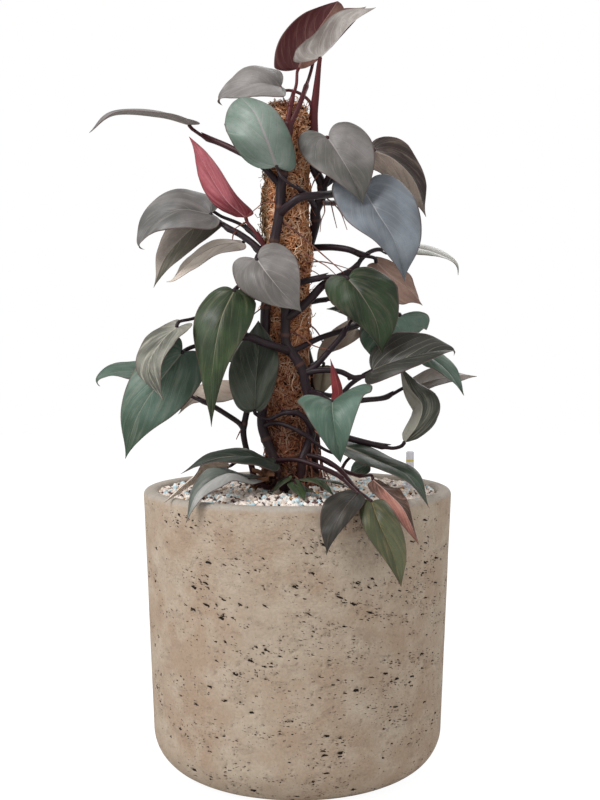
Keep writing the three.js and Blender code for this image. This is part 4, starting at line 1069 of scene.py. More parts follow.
# Finish of a face: tone, darker tone, vein tone, how strongly the veins and the streaks show
upperTones = {
    # blue, grey, dove, stone, mist, pearl, silver and ash are partly the leaf's own grey-green and partly
    # painted sheen: the sky reflected on dark green leaves
    "blue": (paint(130, 138, 146), paint(88, 93, 100), paint(170, 170, 172), 0.12, 0.22),
    "grey": (paint(134, 129, 128), paint(74, 73, 66), paint(160, 150, 150), 0.1, 0.25),
    "dove": (paint(144, 138, 136), paint(90, 86, 82), paint(184, 176, 172), 0.12, 0.3),
    "stone": (paint(132, 129, 128), paint(74, 74, 71), paint(166, 160, 154), 0.14, 0.4),
    "sage": (paint(126, 142, 132), paint(70, 94, 78), paint(166, 152, 156), 0.25, 0.4),
    "green": (paint(96, 118, 106), paint(42, 66, 48), paint(160, 156, 140), 0.13, 0.42),
    "stripe": (paint(48, 64, 50), paint(26, 38, 26), paint(190, 180, 165), 0.1, 0.2),
    "mist": (paint(176, 173, 170), paint(78, 90, 80), paint(192, 188, 182), 0.1, 0.3),
    # cream is buff raised for the pale leaf: its own pale colour plus painted light.
    "cream": (paint(244, 230, 214), paint(214, 196, 178), paint(130, 100, 92), 0.1, 0.2),
    "pearl": (paint(190, 187, 178), paint(134, 136, 124), paint(206, 200, 190), 0.0, 0.2),
    "teal": (paint(108, 130, 119), paint(64, 88, 74), paint(150, 158, 140), 0.1, 0.34),
    "moor": (paint(40, 53, 42), paint(20, 30, 22), paint(170, 160, 144), 0.08, 0.16),
    "leaf": (paint(63, 85, 48), paint(22, 36, 16), paint(146, 138, 112), 0.09, 0.4),
    "jade": (paint(44, 66, 34), paint(16, 30, 12), paint(134, 120, 108), 0.08, 0.34),
    "dark": (paint(74, 82, 70), paint(34, 42, 32), paint(116, 118, 102), 0.25, 0.5),
    "olive": (paint(46, 44, 41), paint(24, 26, 22), paint(140, 138, 120), 0.42, 0.2),
    "slate": (paint(52, 46, 39), paint(20, 22, 18), paint(112, 98, 86), 0.16, 0.42),
    "ash": (paint(170, 168, 155), paint(48, 52, 40), paint(190, 184, 170), 0.12, 0.35),
    "gold": (paint(100, 104, 75), paint(34, 44, 24), paint(158, 130, 84), 0.14, 0.5),
    "silver": (paint(164, 162, 150), paint(88, 90, 80), paint(196, 190, 178), 0.14, 0.42),
    "red": (paint(140, 44, 48), paint(84, 22, 28), paint(186, 100, 96), 0.1, 0.3),
    "buff": (paint(186, 172, 158), paint(150, 134, 120), paint(130, 100, 92), 0.25, 0.3),
    "moss": (paint(136, 126, 106), paint(100, 90, 74), paint(170, 156, 132), 0.2, 0.3),
}
underTones = {
    "maroon": (paint(160, 118, 106), paint(60, 17, 21), paint(172, 134, 122), 0.1, 0.12),
    "pewter": (paint(152, 150, 140), paint(66, 68, 60), paint(190, 186, 172), 0.22, 0.8),
    "brown": (paint(132, 119, 110), paint(68, 56, 52), paint(168, 148, 136), 0.3, 0.45),
    "taupe": (paint(160, 151, 144), paint(98, 90, 84), paint(190, 176, 164), 0.3, 0.5),
    # beige is raised to near white: the pale undersides' own colour plus painted light shining through them.
    "beige": (paint(250, 241, 230), paint(220, 206, 192), paint(140, 110, 100), 0.24, 0.25),
    "umber": (paint(150, 136, 125), paint(46, 36, 34), paint(176, 158, 144), 0.16, 0.35),
    "silver": (paint(222, 214, 208), paint(122, 108, 103), paint(240, 234, 228), 0.16, 0.55),
    # rose is raised towards the pink leaf's lit half: its own pink plus painted highlight
    "rose": (paint(188, 108, 116), paint(112, 34, 42), paint(210, 152, 158), 0.16, 0.42),
    "blush": (paint(168, 112, 99), paint(54, 42, 32), paint(222, 178, 164), 0.22, 0.5),
    "wine": (paint(126, 38, 42), paint(74, 18, 22), paint(172, 96, 92), 0.1, 0.3),
    "husk": (paint(172, 160, 152), paint(72, 74, 60), paint(190, 176, 164), 0.2, 0.3),
    "shell": (paint(182, 172, 166), paint(66, 56, 55), paint(196, 186, 176), 0.0, 0.3),
    "linen": (paint(214, 210, 200), paint(150, 148, 138), paint(206, 200, 190), 0.0, 0.2),
    "clay": (paint(170, 140, 127), paint(104, 80, 70), paint(190, 160, 148), 0.2, 0.35),
}

# Upper tone and under tone; where one half or the foot is painted darker, the darker tone's share on the left
# and the right,
# and at the foot where that differs too: painted shade where that part lies in shade, partly the leaf's own
# darker tone
looks = {
    "top_1": ("dark", "maroon", (0.05, 1.0)), "top_2": ("grey", "silver"), "top_3": ("grey", "maroon"),
    "top_4": ("dove", "taupe"), "sage": ("sage", "brown"), "level": ("grey", "shell", (0.6, 0.05)),
    "pink": ("dark", "rose", (0.25, 0.2, 0.8)), "blue_1": ("stone", "brown"),
    "brown_1": ("grey", "husk", (0.0, 0.7)), "beige_1": ("green", "beige"), "grey_1": ("grey", "brown"),
    "brown_2": ("grey", "umber", (0.1, 0.95)), "blue_2": ("blue", "brown"), "pale_1": ("pearl", "linen"),
    "grey_2": ("dove", "brown"), "green_1": ("jade", "brown"), "brown_3": ("green", "clay"),
    "small_1": ("dark", "brown"), "green_2": ("green", "brown", (0.0, 0.9)), "olive_1": ("olive", "brown"),
    "beige_2": ("green", "taupe"), "green_3": ("green", "taupe"), "twisted": ("ash", "pewter", (0.0, 1.0)),
    "kite": ("teal", "brown"), "red": ("red", "wine"), "olive_2": ("moss", "taupe"),
    "beige_3": ("buff", "beige"), "green_4": ("leaf", "brown"), "silver": ("silver", "pewter"),
    "green_5": ("green", "brown"), "green_6": ("green", "taupe"), "dark_1": ("dark", "brown"),
    "beige_4": ("buff", "beige"), "long_1": ("moor", "brown"), "pale_2": ("cream", "beige"),
    "grey_3": ("mist", "brown", (0.1, 0.75)), "long_2": ("stripe", "beige"), "dark_2": ("slate", "brown"),
    "gold": ("gold", "brown", (0.2, 0.55, 0.7)), "folded": ("dark", "blush", (0.1, 0.95, 0.85)),
    "small_2": ("green", "taupe"), "back_1": ("green", "brown"), "back_2": ("dark", "brown"),
    "back_3": ("green", "taupe"), "back_4": ("olive", "brown"), "back_5": ("green", "brown"),
}


# Veins follow the blade's own UV: y from side to side, x from stalk to tip plus the leaf's number
def bladeFinish(name, tones, upper, halves=None):
    base, deep, vein, lineShare, streakShare = tones
    finish, tree, place = newFinish(name, Specular_IOR_Level=0.36 if upper else 0.16)
    ribShare = blade["wideRibs"].get(name.replace("Upper", ""), 1.0)
    lengthwise, sideways, _ = axesOf(tree, addNode(tree, "ShaderNodeUVMap", uv_map="blade").outputs[0])
    length = calc(tree, "FRACT", lengthwise)
    side = minus(tree, times(tree, sideways, 2.0), 1.0)
    across = calc(tree, "ABSOLUTE", side)
    bend = times(tree, calc(tree, "POWER", across, 1.2), blade["slant"] * blade["veins"])
    phase = minus(tree, times(tree, lengthwise, float(blade["veins"])), bend)
    along = joined(tree, phase, times(tree, side, 1.1))
    streak = ease(tree, speckle(tree, along, 1.3, 5.0, 0.62), 0.46, 0.7)
    elsewhere = vectorCalc(tree, "ADD", along, (7.3, 2.1, 4.0))
    shade = ease(tree, speckle(tree, elsewhere, 0.8, 4.0, 0.6), 0.45, 0.72, 0.0, streakShare * 0.8)
    phase = plus(tree, phase, times(tree, speckle(tree, place, 40.0, 2.0), 0.5))
    offLine = calc(tree, "PINGPONG", phase, 0.5)
    lineWidth = ease(tree, across, 0.0, 1.0, 0.1, 0.04)
    lateral = ease(tree, calc(tree, "DIVIDE", offLine, lineWidth), 0.2, 1.0, 1.0, 0.0)
    lateral = times(tree, lateral, ease(tree, across, 0.7, 1.0, 1.0, 0.1))
    offFine = calc(tree, "PINGPONG", times(tree, phase, 5.0), 0.5)
    lines = calc(tree, "MAXIMUM", lateral, ease(tree, offFine, 0.05, 0.35, 0.3, 0.0))
    ribWidth = ease(tree, length, 0.0, 1.0, 0.042 * ribShare, 0.014 * ribShare)
    midrib = ease(tree, calc(tree, "DIVIDE", across, ribWidth), 0.45, 1.1, 0.6, 0.0)
    patch = ease(tree, speckle(tree, place, 21.0, 2.5), 0.36, 0.64)
    mottle = ease(tree, speckle(tree, place, 105.0, 5.0, 0.65), 0.47, 0.63, 0.0, 0.17)
    # Dark bands beside the lateral veins: painted shade that gives the veins relief.
    veinSideShade = times(tree, ease(tree, offLine, 0.05, 0.2, 1.0, 0.0), minus(tree, 1.0, lateral), lineShare * 0.7)
    fine = speckle(tree, place, 700.0, 4.0, 0.6)
    # One half, and the foot, painted darker: painted shade, partly the leaf's own darker tone.
    if halves:
        left, right, *foot = halves
        darker = ease(tree, side, -0.02, 0.02, left, right)
        if foot:
            darker = calc(tree, "MAXIMUM", darker, ease(tree, length, 0.42, 0.58, foot[0], 0.0))
        darker = calc(tree, "ADD", darker, times(tree, patch, 0.08), clamp=True)
    else:
        darker = times(tree, patch, 0.85)
    colour = layered(
        tree, base, (darker, deep), (shade, deep), (mottle, deep), (veinSideShade, deep),
        # The darkening towards the margin and towards the tip is painted shade that gives the blade its form.
        (ease(tree, across, 0.55, 1.0, 0.0, 0.22), deep), (ease(tree, length, 0.84, 0.98, 0.0, 0.6), deep),
        (times(tree, streak, streakShare), blendColour(tree, 0.55, base, vein)),
        (times(tree, lines, lineShare), vein), (midrib, vein), (ease(tree, fine, 0.4, 0.8, 0.0, 0.2), deep),
        (ease(tree, across, 0.94, 0.985, 0.0, 0.65), blade["margin"]))
    rough = ease(tree, speckle(tree, place, 60.0), 0.3, 0.7, *((0.4, 0.54) if upper else (0.5, 0.64)))
    height = plus(tree, times(tree, lateral, -0.5 if upper else 0.6), times(tree, streak, 0.2))
    connect(tree, colour, rough, height, 0.0004, 0.4)
    return finish


def rimFinish():
    finish, tree, place = newFinish("bladeRim", Roughness=0.45)
    connect(tree, blendColour(tree, speckle(tree, place, 150.0), blade["rim"], blade["rimPale"]))
    return finish


# Places, directions, turns and lengths along a midrib, and the number of its second given point.
def midribOf(points):
    count = blade["steps"]
    at, along = spline(points, np.linspace(0, len(points) - 1, count + 1), centripetal=False)
    turns = [np.eye(3)]
    for before, after in zip(along, along[1:]):
        turns.append(turnBetween(before, after) @ turns[-1])
    return at, along, np.array(turns), runAlong(at), round(count / (len(points) - 1))


def halfForm(leaf):
    table = np.array(forms[leaf.get("form", "heart")])
    fine, _ = spline([(a, c, 0) for a, c in table], np.linspace(0, len(table) - 1, 400))
    return fine[:, 0], fine[:, 1]


# The blade's midrib with its turns, its two half widths, its upper face and its full width.
def bladeFrame(leaf):
    at, along, turns, length, second = midribOf(leaf["midrib"])
    fraction = length[second] / length[-1]
    a, c = halfForm(leaf)
    outer = a > 0.02
    across = np.interp(fraction, a[outer], c[outer])
    back = turns[second].T
    sides = [back @ ((np.array(leaf[key], float) - at[second]) / across) for key in ("right", "left")]
    width = sides[0] - sides[1]
    face = unit(np.cross(width, back @ along[second]))
    start, degrees = leaf.get("curl", (0.8, 0))
    if degrees:        # the tip bends down, towards the under side
        steps, ends = np.diff(at, axis=0), [at[0]]
        for i in range(1, len(at)):
            angle = -math.radians(degrees) * float(smooth(length[i] / length[-1], start, 1.0))
            bend = turnAbout(unit(width), angle)
            ends.append(ends[-1] + turns[i] @ bend @ turns[i].T @ steps[i - 1])
            turns[i] = turns[i] @ bend
        at = np.array(ends)
    return at, along, turns, length, sides, face, float(np.linalg.norm(width))


# Points, faces, UVs and face kinds (0 upper, 1 under, 2 rim) of a blade with veins, waves and a groove
def bladeParts(leaf, seed, rows=blade["rows"], thickness=blade["thickness"]):
    at, along, turns, length, sides, face, width = bladeFrame(leaf)
    total = length[-1]
    draw = np.random.default_rng(seed)
    fineA, fineC = halfForm(leaf)
    chord = np.concatenate([[0], np.cumsum(np.hypot(np.diff(fineA) * 2.2, np.diff(fineC)))])
    t = np.linspace(0.035, 1, rows)
    a = np.interp(t * chord[-1], chord, fineA)
    c = np.maximum(np.interp(t * chord[-1], chord, fineC), 0)
    c[-1] = 0
    a = np.where(a < 0, a * leaf.get("lobe", 1), a)
    start = np.maximum(0, a - blade["sweep"] * c)
    s = np.array(columnStops)
    f = start[:, None] + (a - start)[:, None] * s
    cc = c[:, None] * s
    run = np.maximum(f, 0) * total
    place = np.stack([np.interp(run, length, at[:, k]) for k in range(3)], -1)
    place = place + np.minimum(f, 0)[..., None] * total * along[0]
    matrix = np.stack([[np.interp(run, length, turns[:, j, k]) for k in range(3)] for j in range(3)])
    matrix = np.moveaxis(matrix, (0, 1), (-2, -1))
    local = np.minimum(1, c * 1.7 + 0.05)[:, None]
    phases = draw.uniform(0, fullTurn, 10)
    calm = leaf.get("wave", 1)
    v = t[:, None]
    sheets = []
    for half, side in enumerate(sides):

        # A wave along the blade, so many times from stalk to tip
        def wave(count, number):
            return np.sin(fullTurn * count * v + phases[number + half])

        p = place + np.einsum("...jk,k->...j", matrix, side) * cc[..., None]
        up = np.einsum("...jk,k->...j", matrix, face)
        halfWidth = float(np.linalg.norm(side))
        small = min(1, halfWidth / blade["fullWaveFrom"])
        reach = s * np.hypot((a - start) * total, c * halfWidth)[:, None]
        ridge = np.abs(np.mod((v - blade["slant"] * s ** 1.2) * blade["veins"], 1.0) - 0.5) * 2
        flesh = smooth(reach, 0.6, 5) * (1 - 0.6 * s ** 3) * local
        relief = blade["arch"] * width * leaf.get("cup", 1) * 4 * cc * (1 - cc)
        relief = relief + blade["quilt"] * leaf.get("quilt", 1) * (1 - ridge ** 3) * flesh * small
        relief = relief - blade["groove"] * np.exp(-(reach / blade["grooveReach"]) ** 2) * (1 - 0.75 * v)
        edge = 0.6 * np.sin(fullTurn * (1.6 * v + 0.25 * half) + phases[half]) + 0.4 * wave(3.7, 2)
        roll = wave(1.2, 4) * np.sin(math.pi * s) + 0.5 * wave(2.6, 6) * np.sin(2.4 * s)
        waves = edge * blade["wave"] * s ** 2 + roll * blade["billow"]
        relief = relief + waves * calm * small * smooth(v, 0, 0.12) * local
        sheets.append((p + up * relief[..., None], up))
    return stitch(sheets, thickness, t * 0.995 + seed, s)


# The two halves sewn along the midrib, thickened, and closed by a rim.
def stitch(sheets, thick, t, s):
    (right, upRight), (left, upLeft) = sheets
    middle = (right[:, 0] + left[:, 0]) / 2
    grid = np.concatenate([left[:, :0:-1], middle[:, None], right[:, 1:]], axis=1)
    up = np.concatenate([upLeft[:, :0:-1], upRight], axis=1).reshape(-1, 3)
    across = np.concatenate([-s[:0:-1], [0], s[1:]])
    rows, wide = grid.shape[:2]
    first, kept, number = {}, [], np.empty((rows, wide), int)
    for i, p in enumerate(grid.reshape(-1, 3)):
        key = tuple(np.round(p, 3))
        if key not in first:
            first[key] = len(kept)
            kept.append(i)
        number[divmod(i, wide)] = first[key]
    sheet = grid.reshape(-1, 3)[kept]
    quads, corners = [], []
    for i in range(rows - 1):
        for k in range(wide - 1):
            quad = {}    # point to UV; corners that fell together count once
            for r, q in ((i, k), (i, k + 1), (i + 1, k + 1), (i + 1, k)):
                quad.setdefault(int(number[r, q]), (t[r], 0.5 + 0.5 * across[q]))
            if len(quad) > 2:
                quads.append(list(quad))
                corners.append(list(quad.values()))
    normals = np.zeros_like(sheet)
    for quad in quads:
        fan = sheet[quad[1:]] - sheet[quad[0]]
        normals[quad] += np.cross(fan[:-1], fan[1:]).sum(0)
    if np.sum(normals * up[kept]) < 0:
        normals = -normals
        quads, corners = [q[::-1] for q in quads], [u[::-1] for u in corners]
    normals = unit(normals)
    ways = dict.fromkeys(way for quad in quads for way in zip(quad, quad[1:] + quad[:1]))
    border = [(v, w) for v, w in ways if (w, v) not in ways]
    halfThick = np.full(len(sheet), thick / 2)
    halfThick[[v for edge in border for v in edge]] = blade["edgeThickness"] / 2
    count = len(sheet)
    swell = normals * halfThick[:, None]
    faces = [tuple(q) for q in quads] + [tuple(v + count for v in q[::-1]) for q in quads]
    faces += [(w, v, v + count, w + count) for v, w in border]
    uvs = [u for corner in corners for u in corner] + [u for corner in corners for u in corner[::-1]]
    uvs += [(t[0], 1.0)] * (4 * len(border))
    kinds = [0] * len(quads) + [1] * len(quads) + [2] * len(border)
    return np.vstack([sheet + swell, sheet - swell]), faces, uvs, kinds


def makeLeaves():
    rim = rimFinish()
    finishes = {}
    for number, (name, leaf) in enumerate(leaves.items()):
        upperTone, underTone, *halves = looks[name]
        own = name.title().replace("_", "") if halves else ""
        pair = []
        for tone, table, side in ((upperTone, upperTones, "Upper"), (underTone, underTones, "Under")):
            key = tone + side + own
            if key not in finishes:
                finishes[key] = bladeFinish(key, table[tone], side == "Upper", *halves)
            pair.append(finishes[key])
        points, faces, uvs, kinds = bladeParts(leaf, 1 + number)
        mount(makeMesh("blade_" + name, points, faces, [*pair, rim], kinds, uvs), "leaves", "leaf_" + name)


# Stems and leaf stalks

stem = {
    "radius": 4.7, "sides": 14, "ringEvery": 31, "ringHeight": 0.75, "stalkSides": 12, "neckDrop": 4.6,
    "tipGap": 0.2, "sheathNeck": 0.05, "stalkShare": 0.86, "sheathLength": 8, "shortestSheathed": 26,
    # The second tone is the lighter streak tone: partly the stalks' own streaks, partly painted highlight.
    "skin": paint(30, 18, 24), "bloom": paint(64, 45, 53), "green": paint(48, 40, 34),
    "red": paint(92, 32, 34), "ring": paint(112, 74, 60), "darkRed": paint(66, 24, 26),
    "redStalks": ("top_1", "pink", "top_2"),
    "thin": {"stem_low": 0.62},
    "slim": {"dark_2": 0.55, "gold": 0.53, "folded": 0.55, "long_2": 0.62, "grey_3": 0.7, "long_1": 0.75},
}

stems = {
    "stem_left": [[-8, -28, 600], [-10, -27, 584], [-12, -26, 561], [-15, -25, 542], [-16, -25, 522],
        [-21, -24, 493], [-25, -21, 466], [-29, -19, 438], [-30, -18, 415], [-31, -18, 382], [-32, -18, 345],
        [-33, -18, 322], [-28, -21, 306], [-21, -25, 290], [-18, -27, 275], [-17, -28, 253]],
    "stem_front": [[-8, -28, 452], [-10, -27, 437], [-11, -26, 408], [-10, -26, 396], [-4, -27, 388],
        [5, -26, 373], [7, -25, 362], [10, -24, 350], [13, -23, 317], [10, -23, 303], [5, -25, 291],
        [4, -26, 276], [4, -26, 252]],
    "stem_right": [[15, -6, 589], [15, -4, 565], [23, -2, 546], [22, -2, 534], [17, -2, 523], [17, 4, 513],
        [13, 15, 497], [5, 24, 476], [2, 26, 440], [6, 24, 401], [13, 16, 372], [16, 8, 353], [17, 6, 325],
        [16, 6, 296], [15, 6, 275], [14, 6, 248]],
    "stem_low": [[-47, -6, 337], [-50, -7, 323], [-51, -8, 314], [-48, -6, 297], [-44, -4, 284],
        [-41, -3, 268], [-40, -3, 254]],
}

# Each leaf's stalk: its stem, its way to the blade, its radius at the stem and at the blade,
# and its sheath's share
stalks = [
    ("top_1", "left", [[-9, -27, 600], [-5, -24, 621], [-1, -18, 636]], 3, 1.6, 0.4),
    ("top_3", "left", [[-7, -28, 596], [3, -21, 620], [8, -5, 637], [13, 10, 656]], 3, 1.7, 0.5),
    ("level", "left", [[-15, -25, 542], [-33, -19, 562], [-64, 0, 582], [-78, 7, 589], [-88, 9, 593],
        [-97, 10, 599]], 3.8, 1.8, 0.8),
    ("pink", "left", [[-26, -20, 471], [-31, -23, 488], [-40, -24, 502]], 3.2, 1.8, 0.5),
    ("blue_1", "left", [[-26, -20, 466], [-33, -21, 482], [-53, -15, 499], [-68, -10, 507]], 4, 2.2, 0.7),
    ("brown_1", "left", [[-24, -22, 479], [-33, -8, 492], [-53, 4, 510], [-72, 5, 518]], 3, 1.8, 0.5),
    ("beige_1", "left", [[-26, -18, 468], [-33, -8, 480], [-41, -3, 488]], 2.8, 1.8, 0.5),
    ("blue_2", "left", [[-16, -25, 517], [-10, -33, 522], [2, -38, 530], [18, -31, 533], [34, -12, 537],
        [52, -8, 540]], 4.6, 2.5, 0.7),
    ("grey_2", "left", [[-23, -23, 484], [-29, -34, 483], [-35, -44, 479]], 3.4, 2, 0.5),
    ("green_4", "left", [[-28, -20, 449], [-41, -36, 453], [-51, -46, 451]], 3.6, 2.2, 0.5),
    ("silver", "left", [[-29, -19, 444], [-43, -34, 439], [-66, -44, 430], [-83, -48, 424], [-95, -50, 420]],
        3.4, 1.6, 0.5),
    ("long_1", "left", [[-20, -26, 282], [-20, -38, 283]], 3.2, 2.2, 0.5),
    ("grey_3", "left", [[-18, -27, 273], [-25, -42, 266], [-36, -54, 271]], 3, 2, 0.5),
    ("long_2", "left", [[-33, -18, 317], [-27, -24, 323], [-16, -30, 324], [2, -37, 317], [26, -37, 300],
        [35, -34, 297]], 3.6, 2.2, 0.5),
    ("dark_2", "left", [[-22, -25, 289], [-2, -44, 292], [20, -60, 287], [36, -86, 282], [43, -112, 278]],
        4.4, 2.6, 0.7),
    ("back_3", "left", [[-31, -18, 394], [-42, 10, 398], [-47, 28, 401]], 3, 2, 0.5),
    ("pale_1", "front", [[-10, -27, 421], [0, -31, 428], [12, -32, 439], [23, -28, 451], [33, -21, 457],
        [44, -14, 462], [54, -8, 468], [60, 0, 477], [69, 10, 485], [79, 18, 488]], 4.6, 2.3, 0.6),
    ("green_1", "front", [[-8, -28, 451], [12, -33, 456], [32, -35, 459]], 3.6, 2.1, 0.5),
    ("small_1", "front", [[5, -26, 371], [14, -28, 375], [30, -30, 392], [45, -26, 410], [51, -22, 420]],
        3.4, 1.5, 0.6),
    ("green_2", "front", [[-7, -27, 391], [0, -24, 393], [21, -16, 403], [45, -9, 411], [58, 4, 416],
        [75, 12, 420], [88, 15, 424]], 3.2, 2, 0.6),
    ("olive_1", "front", [[5, -26, 370], [21, -31, 373], [39, -33, 372], [54, -28, 366]], 3.2, 2, 0.75),
    ("beige_2", "front", [[10, -24, 347], [35, -24, 342], [63, -14, 345], [83, -4, 347], [100, 6, 355]],
        3.2, 1.9, 0.7),
    ("green_3", "front", [[9, -24, 355], [31, -10, 349], [41, -4, 350], [50, -2, 359], [60, 0, 366],
        [78, 4, 375], [97, 2, 384]], 2.8, 1.6, 0.6),
    ("twisted", "front", [[12, -23, 319], [30, -28, 316], [45, -28, 311], [79, -20, 302], [90, -17, 300]],
        3.8, 1.9, 0.75),
    ("kite", "front", [[10, -24, 352], [17, -40, 352], [25, -56, 349]], 3.2, 2, 0.5),
    ("red", "front", [[34, -24, 342], [37, -34, 338]], 2.4, 1.8, 0.5),
    ("olive_2", "front", [[7, -24, 364], [15, -14, 378]], 2.4, 1.6, 0.5),
    ("beige_3", "front", [[45, -9, 411], [56, 2, 414], [61, 11, 416]], 2.2, 1.5, 0.5),
    ("green_5", "front", [[-7, -27, 390], [-20, -38, 395], [-32, -43, 399], [-45, -47, 404], [-68, -43, 400],
        [-88, -32, 397], [-98, -35, 394]], 4.6, 2.2, 0.6),
    ("dark_1", "front", [[13, -23, 310], [12, -30, 321], [2, -34, 333], [-12, -34, 334], [-28, -31, 328]],
        3.2, 2, 0.5),
    ("gold", "front", [[6, -24, 295], [23, -36, 292], [38, -54, 284], [50, -92, 272], [57, -122, 269]],
        4.4, 2.4, 0.7),
    ("folded", "front", [[9, -23, 301], [23, -22, 290], [39, -30, 282], [57, -54, 278]], 3.6, 2.2, 0.7),
    ("small_2", "front", [[41, -31, 282], [46, -24, 289], [54, -18, 294], [64, -15, 294], [72, -14, 291]],
        1.8, 1.2, 0.5),
    ("top_4", "right", [[15, -6, 588], [16, -2, 606], [12, 2, 624], [2, 4, 633], [-8, 5, 636]],
        2.8, 1.6, 0.4),
    ("top_2", "right", [[15, -6, 586], [15, -9, 610], [17, -12, 628], [19, -17, 646]], 5, 1.9, 0.05),
    ("sage", "right", [[17, -4, 525], [11, -20, 532], [3, -34, 537], [-7, -44, 542], [-15, -44, 549]],
        3.4, 1.5, 0.5),
    ("grey_1", "right", [[23, -2, 540], [30, -12, 557], [31, -20, 574]], 3.4, 2, 0.5),
    ("brown_2", "right", [[23, -2, 544], [35, 4, 554], [52, 3, 571], [64, 1, 581]], 3.2, 1.8, 0.5),
    ("brown_3", "right", [[10, 16, 489], [23, 6, 489], [35, -4, 488], [49, -12, 485], [61, -12, 480]],
        4, 1.9, 0.75),
    ("back_1", "right", [[20, -2, 530], [36, 26, 533]], 3.2, 2, 0.5),
    ("back_2", "right", [[5, 23, 480], [-7, 32, 483]], 3, 2, 0.5),
    ("back_4", "right", [[3, 26, 436], [30, 36, 441]], 3, 2, 0.5),
    ("back_5", "right", [[15, -4, 571], [15, 12, 577], [4, 28, 584], [-11, 38, 587]], 3, 2, 0.5),
    ("green_6", "low", [[-51, -8, 317], [-54, -8, 322], [-67, -6, 331], [-84, -4, 341], [-101, 0, 348],
        [-114, 4, 359]], 3, 1.8, 0.5),
    ("beige_4", "low", [[-47, -6, 337], [-49, 8, 345]], 2.6, 1.8, 0.5),
    ("pale_2", "low", [[-47, -6, 290], [-56, 0, 287]], 2.8, 1.8, 0.5),
]


# UV x is the length in tenths of a metre, y the way round.
def stemFinish(name, ringed, redness):
    finish, tree, place = newFinish(name, Specular_IOR_Level=0.26)
    uv = addNode(tree, "ShaderNodeUVMap", uv_map="blade").outputs[0]
    streaks = speckle(tree, stretched(tree, uv, (4, 26, 1)), 2.0, 4.0)
    height = axesOf(tree, place)[2]
    low, high = ease(tree, height, 0.31, 0.27, 0.0, 0.45), ease(tree, height, 0.55, 0.61, 0.0, 0.6)
    reds = calc(tree, "MAXIMUM", low, high)
    redTone = blendColour(tree, ease(tree, height, 0.33, 0.4), stem["darkRed"], stem["red"])
    # Lighter lengthwise streaks: partly the skin's own, partly painted highlight.
    colour = layered(
        tree, stem["skin"], (ease(tree, streaks, 0.4, 0.7, 0.0, 0.7), stem["bloom"]),
        (ease(tree, speckle(tree, place, 45.0), 0.4, 0.68, 0.0, 0.25), stem["green"]),
        (calc(tree, "MAXIMUM", reds, redness), redTone))
    if ringed:
        run = times(tree, axesOf(tree, uv)[0], 100.0)
        off = calc(tree, "PINGPONG", calc(tree, "DIVIDE", run, stem["ringEvery"]), 0.5)
        colour = blendColour(tree, ease(tree, off, 0.42, 0.48, 0.0, 0.35), colour, stem["ring"])
    height = plus(tree, streaks, speckle(tree, place, 900.0))
    connect(tree, colour, ease(tree, streaks, 0.2, 0.8, 0.36, 0.52), height, 0.0003, 0.5)
    return finish


def stalkPath(leafName, way):
    at, along, _, _, _, face, _ = bladeFrame(leaves[leafName])
    into = along[0] if "straight" in leaves[leafName] else unit(along[0] * 0.8 + face * 0.6)
    return [*way, (at[0] - into * stem["neckDrop"]).tolist(), (at[0] - into * stem["tipGap"]).tolist()]


def stalkRadius(thick, thin, sheath, share):
    def radius(f, run):
        if sheath < 0.1:
            return thick + (thin - thick) * f ** 1.2
        past = smooth(f, sheath, sheath + stem["sheathNeck"])
        flare = 0.35 * math.exp(-((f - sheath) / 0.05) ** 2) * (1 - past)
        tipSwell = 0.25 * smooth(f, 0.9, 1.0)
        return (thick + (thin - thick) * (0.35 * f + 0.65 * past) + flare) * share + tipSwell
    return radius


def stemRadius(share):
    def radius(f, run):
        ring = math.exp(-(((run % stem["ringEvery"]) - stem["ringEvery"] / 2) / 1.6) ** 2)
        return (stem["radius"] * (1 + 0.04 * math.sin(run / 9)) + stem["ringHeight"] * ring) * share
    return radius


# The pointed end of a leaf sheath, lying along its stalk
def sheathTip(route, share, radius):
    at, along = spline(route, np.linspace(0, len(route) - 1, 200))
    run = runAlong(at)
    if run[-1] < stem["shortestSheathed"] or share < 0.1:
        return None
    n = int(np.searchsorted(run, run[-1] * share))
    up = np.array([0, 0, 1.0]) - along[n] * along[n][2]
    up = unit(up if np.linalg.norm(up) > 0.3 else np.array([-1.0, -0.3, 0]))
    back, ahead = at[n] - along[n] * 9, at[n] + along[n] * stem["sheathLength"]
    path = [back + up * radius * 0.15, at[n] + up * radius * 0.55, ahead + up * (radius * 0.8 + 0.7)]
    return tubeParts(path, lambda f, r: radius * 0.72 * (1 - f) ** 0.75 + 0.2, 8, 1.5)


def makeStems():
    finishes = [stemFinish(*about) for about in (("stemSkin", True, 0.0), ("stalkSkin", False, 0.0),
                                                 ("redStalk", False, 0.8))]
    for name, path in stems.items():
        parts, kinds = [tubeParts(path, stemRadius(stem["thin"].get(name, 1)), stem["sides"], 2.4)], [0]
        for leafName, carrier, way, thick, thin, sheath in stalks:
            if "stem_" + carrier == name:
                route = stalkPath(leafName, way)
                share = stem["slim"].get(leafName, stem["stalkShare"])
                stalk = tubeParts(route, stalkRadius(thick, thin, sheath, share), stem["stalkSides"], 2.6)
                pieces = [piece for piece in (stalk, sheathTip(route, sheath, thick * share)) if piece]
                parts += pieces
                kinds += [2 if leafName in stem["redStalks"] else 1] * len(pieces)
        points, faces, uvs, lots = joinParts(parts)
        slots = [kinds[lot] for lot in lots]
        mount(makeMesh("climbing_" + name, points, faces, finishes, slots, uvs), "stems", name)


